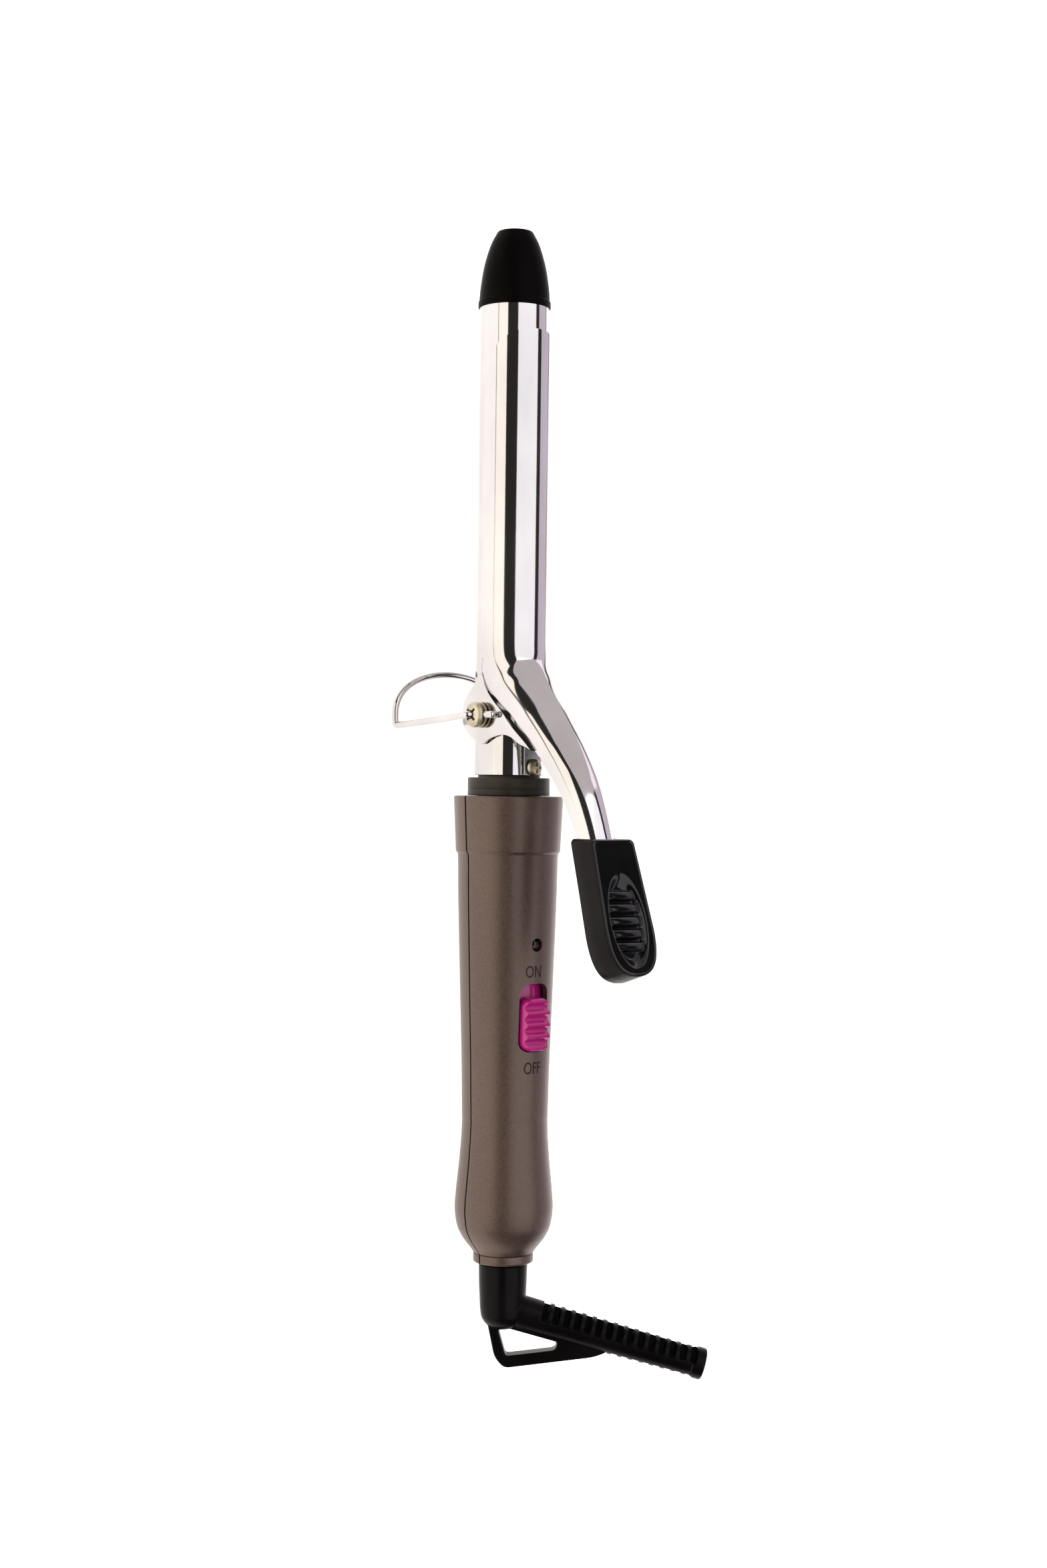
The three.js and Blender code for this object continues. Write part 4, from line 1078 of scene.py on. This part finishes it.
def build_outlet():
    lower = spline([(6.2, ELBOW_Y + 0.2), (5.75, -163.9), (4.3, -165.9), (2.4, -166.9), (0, -167.2)], 5)
    neck = [(0, -133.5), (4.6, -133.5), (4.6, RELIEF_TOP), (6.4, RELIEF_TOP)]
    neck += [(6.65, RELIEF_TOP - 0.25), (6.5, -155)]
    body = piece("outlet", None, turned(neck + lower, 72), Matrix())
    turn = Matrix.Translation((0, ELBOW_Y, 0)) @ Matrix.Rotation(-math.pi / 2 - ARM_DROP, 4, "Z")
    arm = piece("arm", None, ribbed_arm(), turn @ Matrix.Rotation(SLOT_TURN, 4, "Y"))
    plate, hole = hanging_loop()
    loop = piece("loop", None, extruded(plate, -LOOP_THICK / 2, LOOP_THICK / 2, as_drawn), Matrix())
    carve(loop, [piece("loop_hole", None, extruded(hole, -5, 5, as_drawn), Matrix())])
    root = piece("root", None, turned([(0, -1), (4.5, -1), (4.7, 8), (4.6, 9.5), (0, 9.5)], 72), turn)
    carve(body, [root, loop], "UNION")
    remesh = body.modifiers.new("remesh", "REMESH")
    remesh.mode, remesh.voxel_size = "VOXEL", REMESH_VOXEL
    soften = body.modifiers.new("soften", "SMOOTH")
    soften.factor, soften.iterations = 0.5, 4
    settle(body, 60)
    carve(body, [arm], "UNION")
    carve(body, [drill(CORD_BORE_R, (0, 30, 0), (0, 60, 0), turn)], sharp=40)
    dress(body, "vinyl", "strain_relief")
    body.data.materials.append(FINISHES["shade"])
    # The flat slot floors get the painted shade finish: a near-black that stands for the shade inside the
    # open slots.
    flat_side = (turn @ Matrix.Rotation(SLOT_TURN, 4, "Y")).inverted()
    for face in body.data.polygons:
        middle = flat_side @ face.center
        level = abs((flat_side.to_3x3() @ face.normal).z) > 0.95 and abs(abs(middle.z) - SLOT_FLOOR) < 0.05
        face.material_index = int(level and 10 < middle.y < 56)
    body.data.transform(OUTLET)
    body.name = "cord_outlet_moulding"
    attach(body, "cord_outlet")


# Inner pieces and stage


def build_inner_pieces():
    """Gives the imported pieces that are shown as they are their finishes."""
    for finish, names in CAD_FINISHES.items():
        for name in names:
            mesh = frame["nodes"][name].data
            mesh.materials.clear()
            mesh.materials.append(FINISHES[finish])


def view_frame():
    """The directions towards the camera, to its right and along the barrel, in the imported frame."""
    lean = Matrix.Rotation(TILT, 3, "X")
    across, ahead = math.cos(CAMERA_AZIMUTH), math.sin(CAMERA_AZIMUTH)
    return lean @ Vector((-ahead, 0, across)), lean @ Vector((across, 0, ahead)), lean @ Vector((0, 1, 0))


def softbox(name, angle, lean, width, length, radiance, colour):
    """An area light that faces the barrel.

    In degrees, angle turns it from the camera towards the camera's right, and lean towards the tip.
    """
    towards, right, barrel = view_frame()
    turn, pitch = math.radians(angle), math.radians(lean)
    way = (towards * math.cos(turn) + right * math.sin(turn)) * math.cos(pitch) + barrel * math.sin(pitch)
    light = bpy.data.lights.new(name, "AREA")
    light.shape, light.size, light.size_y = "RECTANGLE", width, length
    light.energy, light.color = radiance * math.pi * width * length, linear(colour)[:3]
    made = add_object(name, light)
    across = (right * math.cos(turn) - towards * math.sin(turn)).normalized()
    facing = Matrix((across, way.cross(across), way)).transposed().to_4x4()
    made.matrix_world = Matrix.Translation(IRON @ Vector() + way * LIGHT_DISTANCE) @ facing
    made.visible_camera = False


def build_stage():
    corners = [(-3, -3, 0), (3, -3, 0), (3, 3, 0), (-3, 3, 0)]
    floor = piece("floor", None, (corners, [(0, 1, 2, 3)]), Matrix())
    dress(floor, "floor")
    world = bpy.data.worlds.new("studio")
    bpy.context.scene.world = world
    world.use_nodes = True
    world.node_tree.nodes["Background"].inputs["Color"].default_value = linear(WORLD_COLOUR)
    world.node_tree.nodes["Background"].inputs["Strength"].default_value = WORLD_STRENGTH
    for row in SOFTBOXES:
        softbox(*row)

    towards, right, barrel = view_frame()
    x_axis = right * math.cos(CAMERA_ROLL) + barrel * math.sin(CAMERA_ROLL)
    y_axis = barrel * math.cos(CAMERA_ROLL) - right * math.sin(CAMERA_ROLL)
    camera = add_object("camera", bpy.data.cameras.new("camera"))
    target = IRON @ Vector((0, CAMERA_AIM_Y, 0)) + right * CAMERA_SHIFT
    facing = Matrix((x_axis, y_axis, towards)).transposed().to_4x4()
    camera.matrix_world = Matrix.Translation(target + towards * CAMERA_DISTANCE) @ facing
    camera.data.sensor_width, camera.data.lens = SENSOR, LENS
    camera.data.clip_start = 0.01
    bpy.context.scene.camera = camera
    bpy.context.scene.view_settings.view_transform = "Standard"


# Add-on


class CurlingIronSizes(bpy.types.PropertyGroup):
    ridge_height: FloatProperty(
        name="Slide ridge height", description="How far the thumb slide's ridges stand up",
        default=0.00115, min=0, max=0.0015, precision=5, unit="LENGTH",
    )
    rib_height: FloatProperty(
        name="Thumb rib height", description="How far the thumb rest's ribs stand up from its dish",
        default=0.0016, min=0, max=0.002, precision=5, unit="LENGTH",
    )
    legend_size: FloatProperty(
        name="Legend size", description="The type size of the printed ON and OFF",
        default=0.0046, min=0.003, max=0.006, precision=5, unit="LENGTH",
    )
    slot_count: IntProperty(
        name="Relief slots", description="How many slots the strain relief has on each side",
        default=15, min=6, max=15,
    )
    slot_pitch: FloatProperty(
        name="Relief slot pitch", description="The distance from one strain relief slot to the next",
        default=0.00299, min=0.002, max=0.004, precision=5, unit="LENGTH",
    )


def colour(name, description, hex_colour):
    return FloatVectorProperty(
        name=name, description=description, default=linear(hex_colour), size=4,
        min=0, max=1, subtype="COLOR",
    )


class CurlingIronColours(bpy.types.PropertyGroup):
    chrome: colour("Chrome", "The plated steel's reflection", "#C2BFBE")
    handle: colour("Handle", "The handle's lacquer at its brightest flakes", "#5E4B41")
    slide: colour("Thumb slide", "The thumb slide's plastic", "#AE1672")
    collar: colour("Collar", "The collar's plastic", "#37322A")
    tip: colour("Cool tip", "The cool tip's plastic", "#070505")
    outlet: colour("Cord outlet", "The cord outlet's vinyl", "#090708")
    floor: colour("Floor", "The sheet that the iron lies on", "#FAF9F8")


class CURLING_IRON_OT_finishes(bpy.types.Operator):
    """Make every finish from the chosen colours"""

    bl_idname = "curling_iron.finishes"
    bl_label = "Finishes"

    def execute(self, context):
        FINISHES.update(make_finishes(context.scene.curling_iron_colours))
        return {"FINISHED"}


class CURLING_IRON_OT_barrel(bpy.types.Operator):
    """Build the chrome barrel"""

    bl_idname = "curling_iron.barrel"
    bl_label = "Barrel"

    def execute(self, context):
        build_barrel()
        return {"FINISHED"}


class CURLING_IRON_OT_cool_tip(bpy.types.Operator):
    """Build the cool tip on the barrel's end"""

    bl_idname = "curling_iron.cool_tip"
    bl_label = "Cool tip"

    def execute(self, context):
        build_cap()
        return {"FINISHED"}


class CURLING_IRON_OT_collar(bpy.types.Operator):
    """Build the collar between the barrel and the handle"""

    bl_idname = "curling_iron.collar"
    bl_label = "Collar"

    def execute(self, context):
        build_collar()
        return {"FINISHED"}


class CURLING_IRON_OT_handle(bpy.types.Operator):
    """Build the handle's two halves and its tail ring"""

    bl_idname = "curling_iron.handle"
    bl_label = "Handle"

    def execute(self, context):
        build_front_shell()
        build_rear_shell()
        build_tail_ring()
        return {"FINISHED"}


class CURLING_IRON_OT_thumb_slide(bpy.types.Operator):
    """Build the ridged thumb slide of the switch"""

    bl_idname = "curling_iron.thumb_slide"
    bl_label = "Thumb slide"

    def execute(self, context):
        build_slider()
        return {"FINISHED"}


class CURLING_IRON_OT_lens(bpy.types.Operator):
    """Build the smoked lens of the indicator lamp"""

    bl_idname = "curling_iron.lens"
    bl_label = "Lamp lens"

    def execute(self, context):
        build_lens()
        return {"FINISHED"}


class CURLING_IRON_OT_legends(bpy.types.Operator):
    """Print ON and OFF beside the switch"""

    bl_idname = "curling_iron.legends"
    bl_label = "Legends"

    def execute(self, context):
        build_legend("ON", -0.8, -69.0)
        build_legend("OFF", -0.2, -95.0)
        return {"FINISHED"}


class CURLING_IRON_OT_clamp(bpy.types.Operator):
    """Build the clamp with its lever and pivot ears"""

    bl_idname = "curling_iron.clamp"
    bl_label = "Clamp"

    def execute(self, context):
        build_clamp()
        return {"FINISHED"}


class CURLING_IRON_OT_thumb_rest(bpy.types.Operator):
    """Build the thumb rest on the lever"""

    bl_idname = "curling_iron.thumb_rest"
    bl_label = "Thumb rest"

    def execute(self, context):
        build_thumb_rest()
        return {"FINISHED"}


class CURLING_IRON_OT_pivot(bpy.types.Operator):
    """Build the pivot screws and their washers"""

    bl_idname = "curling_iron.pivot"
    bl_label = "Pivot screws"

    def execute(self, context):
        build_pivot()
        return {"FINISHED"}


class CURLING_IRON_OT_spring(bpy.types.Operator):
    """Build the clamp's leaf spring and its screw"""

    bl_idname = "curling_iron.spring"
    bl_label = "Leaf spring"

    def execute(self, context):
        build_spring()
        return {"FINISHED"}


class CURLING_IRON_OT_stand(bpy.types.Operator):
    """Build the wire stand"""

    bl_idname = "curling_iron.stand"
    bl_label = "Wire stand"

    def execute(self, context):
        build_stand()
        return {"FINISHED"}


class CURLING_IRON_OT_outlet(bpy.types.Operator):
    """Build the swivelling cord outlet with its hanging loop"""

    bl_idname = "curling_iron.outlet"
    bl_label = "Cord outlet"

    def execute(self, context):
        build_outlet()
        return {"FINISHED"}


class CURLING_IRON_OT_inner_pieces(bpy.types.Operator):
    """Finish the pieces inside the barrel and the handle"""

    bl_idname = "curling_iron.inner_pieces"
    bl_label = "Inner pieces"

    def execute(self, context):
        build_inner_pieces()
        return {"FINISHED"}


class CURLING_IRON_OT_stage(bpy.types.Operator):
    """Set up the floor, the studio lights and the camera"""

    bl_idname = "curling_iron.stage"
    bl_label = "Stage"

    def execute(self, context):
        build_stage()
        return {"FINISHED"}


STEPS = [
    CURLING_IRON_OT_finishes, CURLING_IRON_OT_barrel, CURLING_IRON_OT_cool_tip, CURLING_IRON_OT_collar,
    CURLING_IRON_OT_handle, CURLING_IRON_OT_thumb_slide, CURLING_IRON_OT_lens, CURLING_IRON_OT_legends,
    CURLING_IRON_OT_clamp, CURLING_IRON_OT_thumb_rest, CURLING_IRON_OT_pivot, CURLING_IRON_OT_spring,
    CURLING_IRON_OT_stand, CURLING_IRON_OT_outlet, CURLING_IRON_OT_inner_pieces, CURLING_IRON_OT_stage,
]


class CURLING_IRON_PT_panel(bpy.types.Panel):
    """The curling iron's sizes, colours and steps"""

    bl_idname = "CURLING_IRON_PT_panel"
    bl_label = "Curling iron"
    bl_space_type = "VIEW_3D"
    bl_region_type = "UI"
    bl_category = "Curling iron"

    def draw(self, context):
        for group in (context.scene.curling_iron_sizes, context.scene.curling_iron_colours):
            column = self.layout.column(align=True)
            for key in group.__annotations__:
                column.prop(group, key)
        column = self.layout.column(align=True)
        for step in STEPS:
            column.operator(step.bl_idname)


CLASSES = [CurlingIronSizes, CurlingIronColours, *STEPS, CURLING_IRON_PT_panel]


def register():
    for kind in CLASSES:
        bpy.utils.register_class(kind)
    bpy.types.Scene.curling_iron_sizes = PointerProperty(type=CurlingIronSizes)
    bpy.types.Scene.curling_iron_colours = PointerProperty(type=CurlingIronColours)


def unregister():
    del bpy.types.Scene.curling_iron_colours
    del bpy.types.Scene.curling_iron_sizes
    for kind in reversed(CLASSES):
        bpy.utils.unregister_class(kind)


def main():
    register()
    for step in STEPS:
        group, name = step.bl_idname.split(".")
        getattr(getattr(bpy.ops, group), name)()


if __name__ == "__main__":
    main()
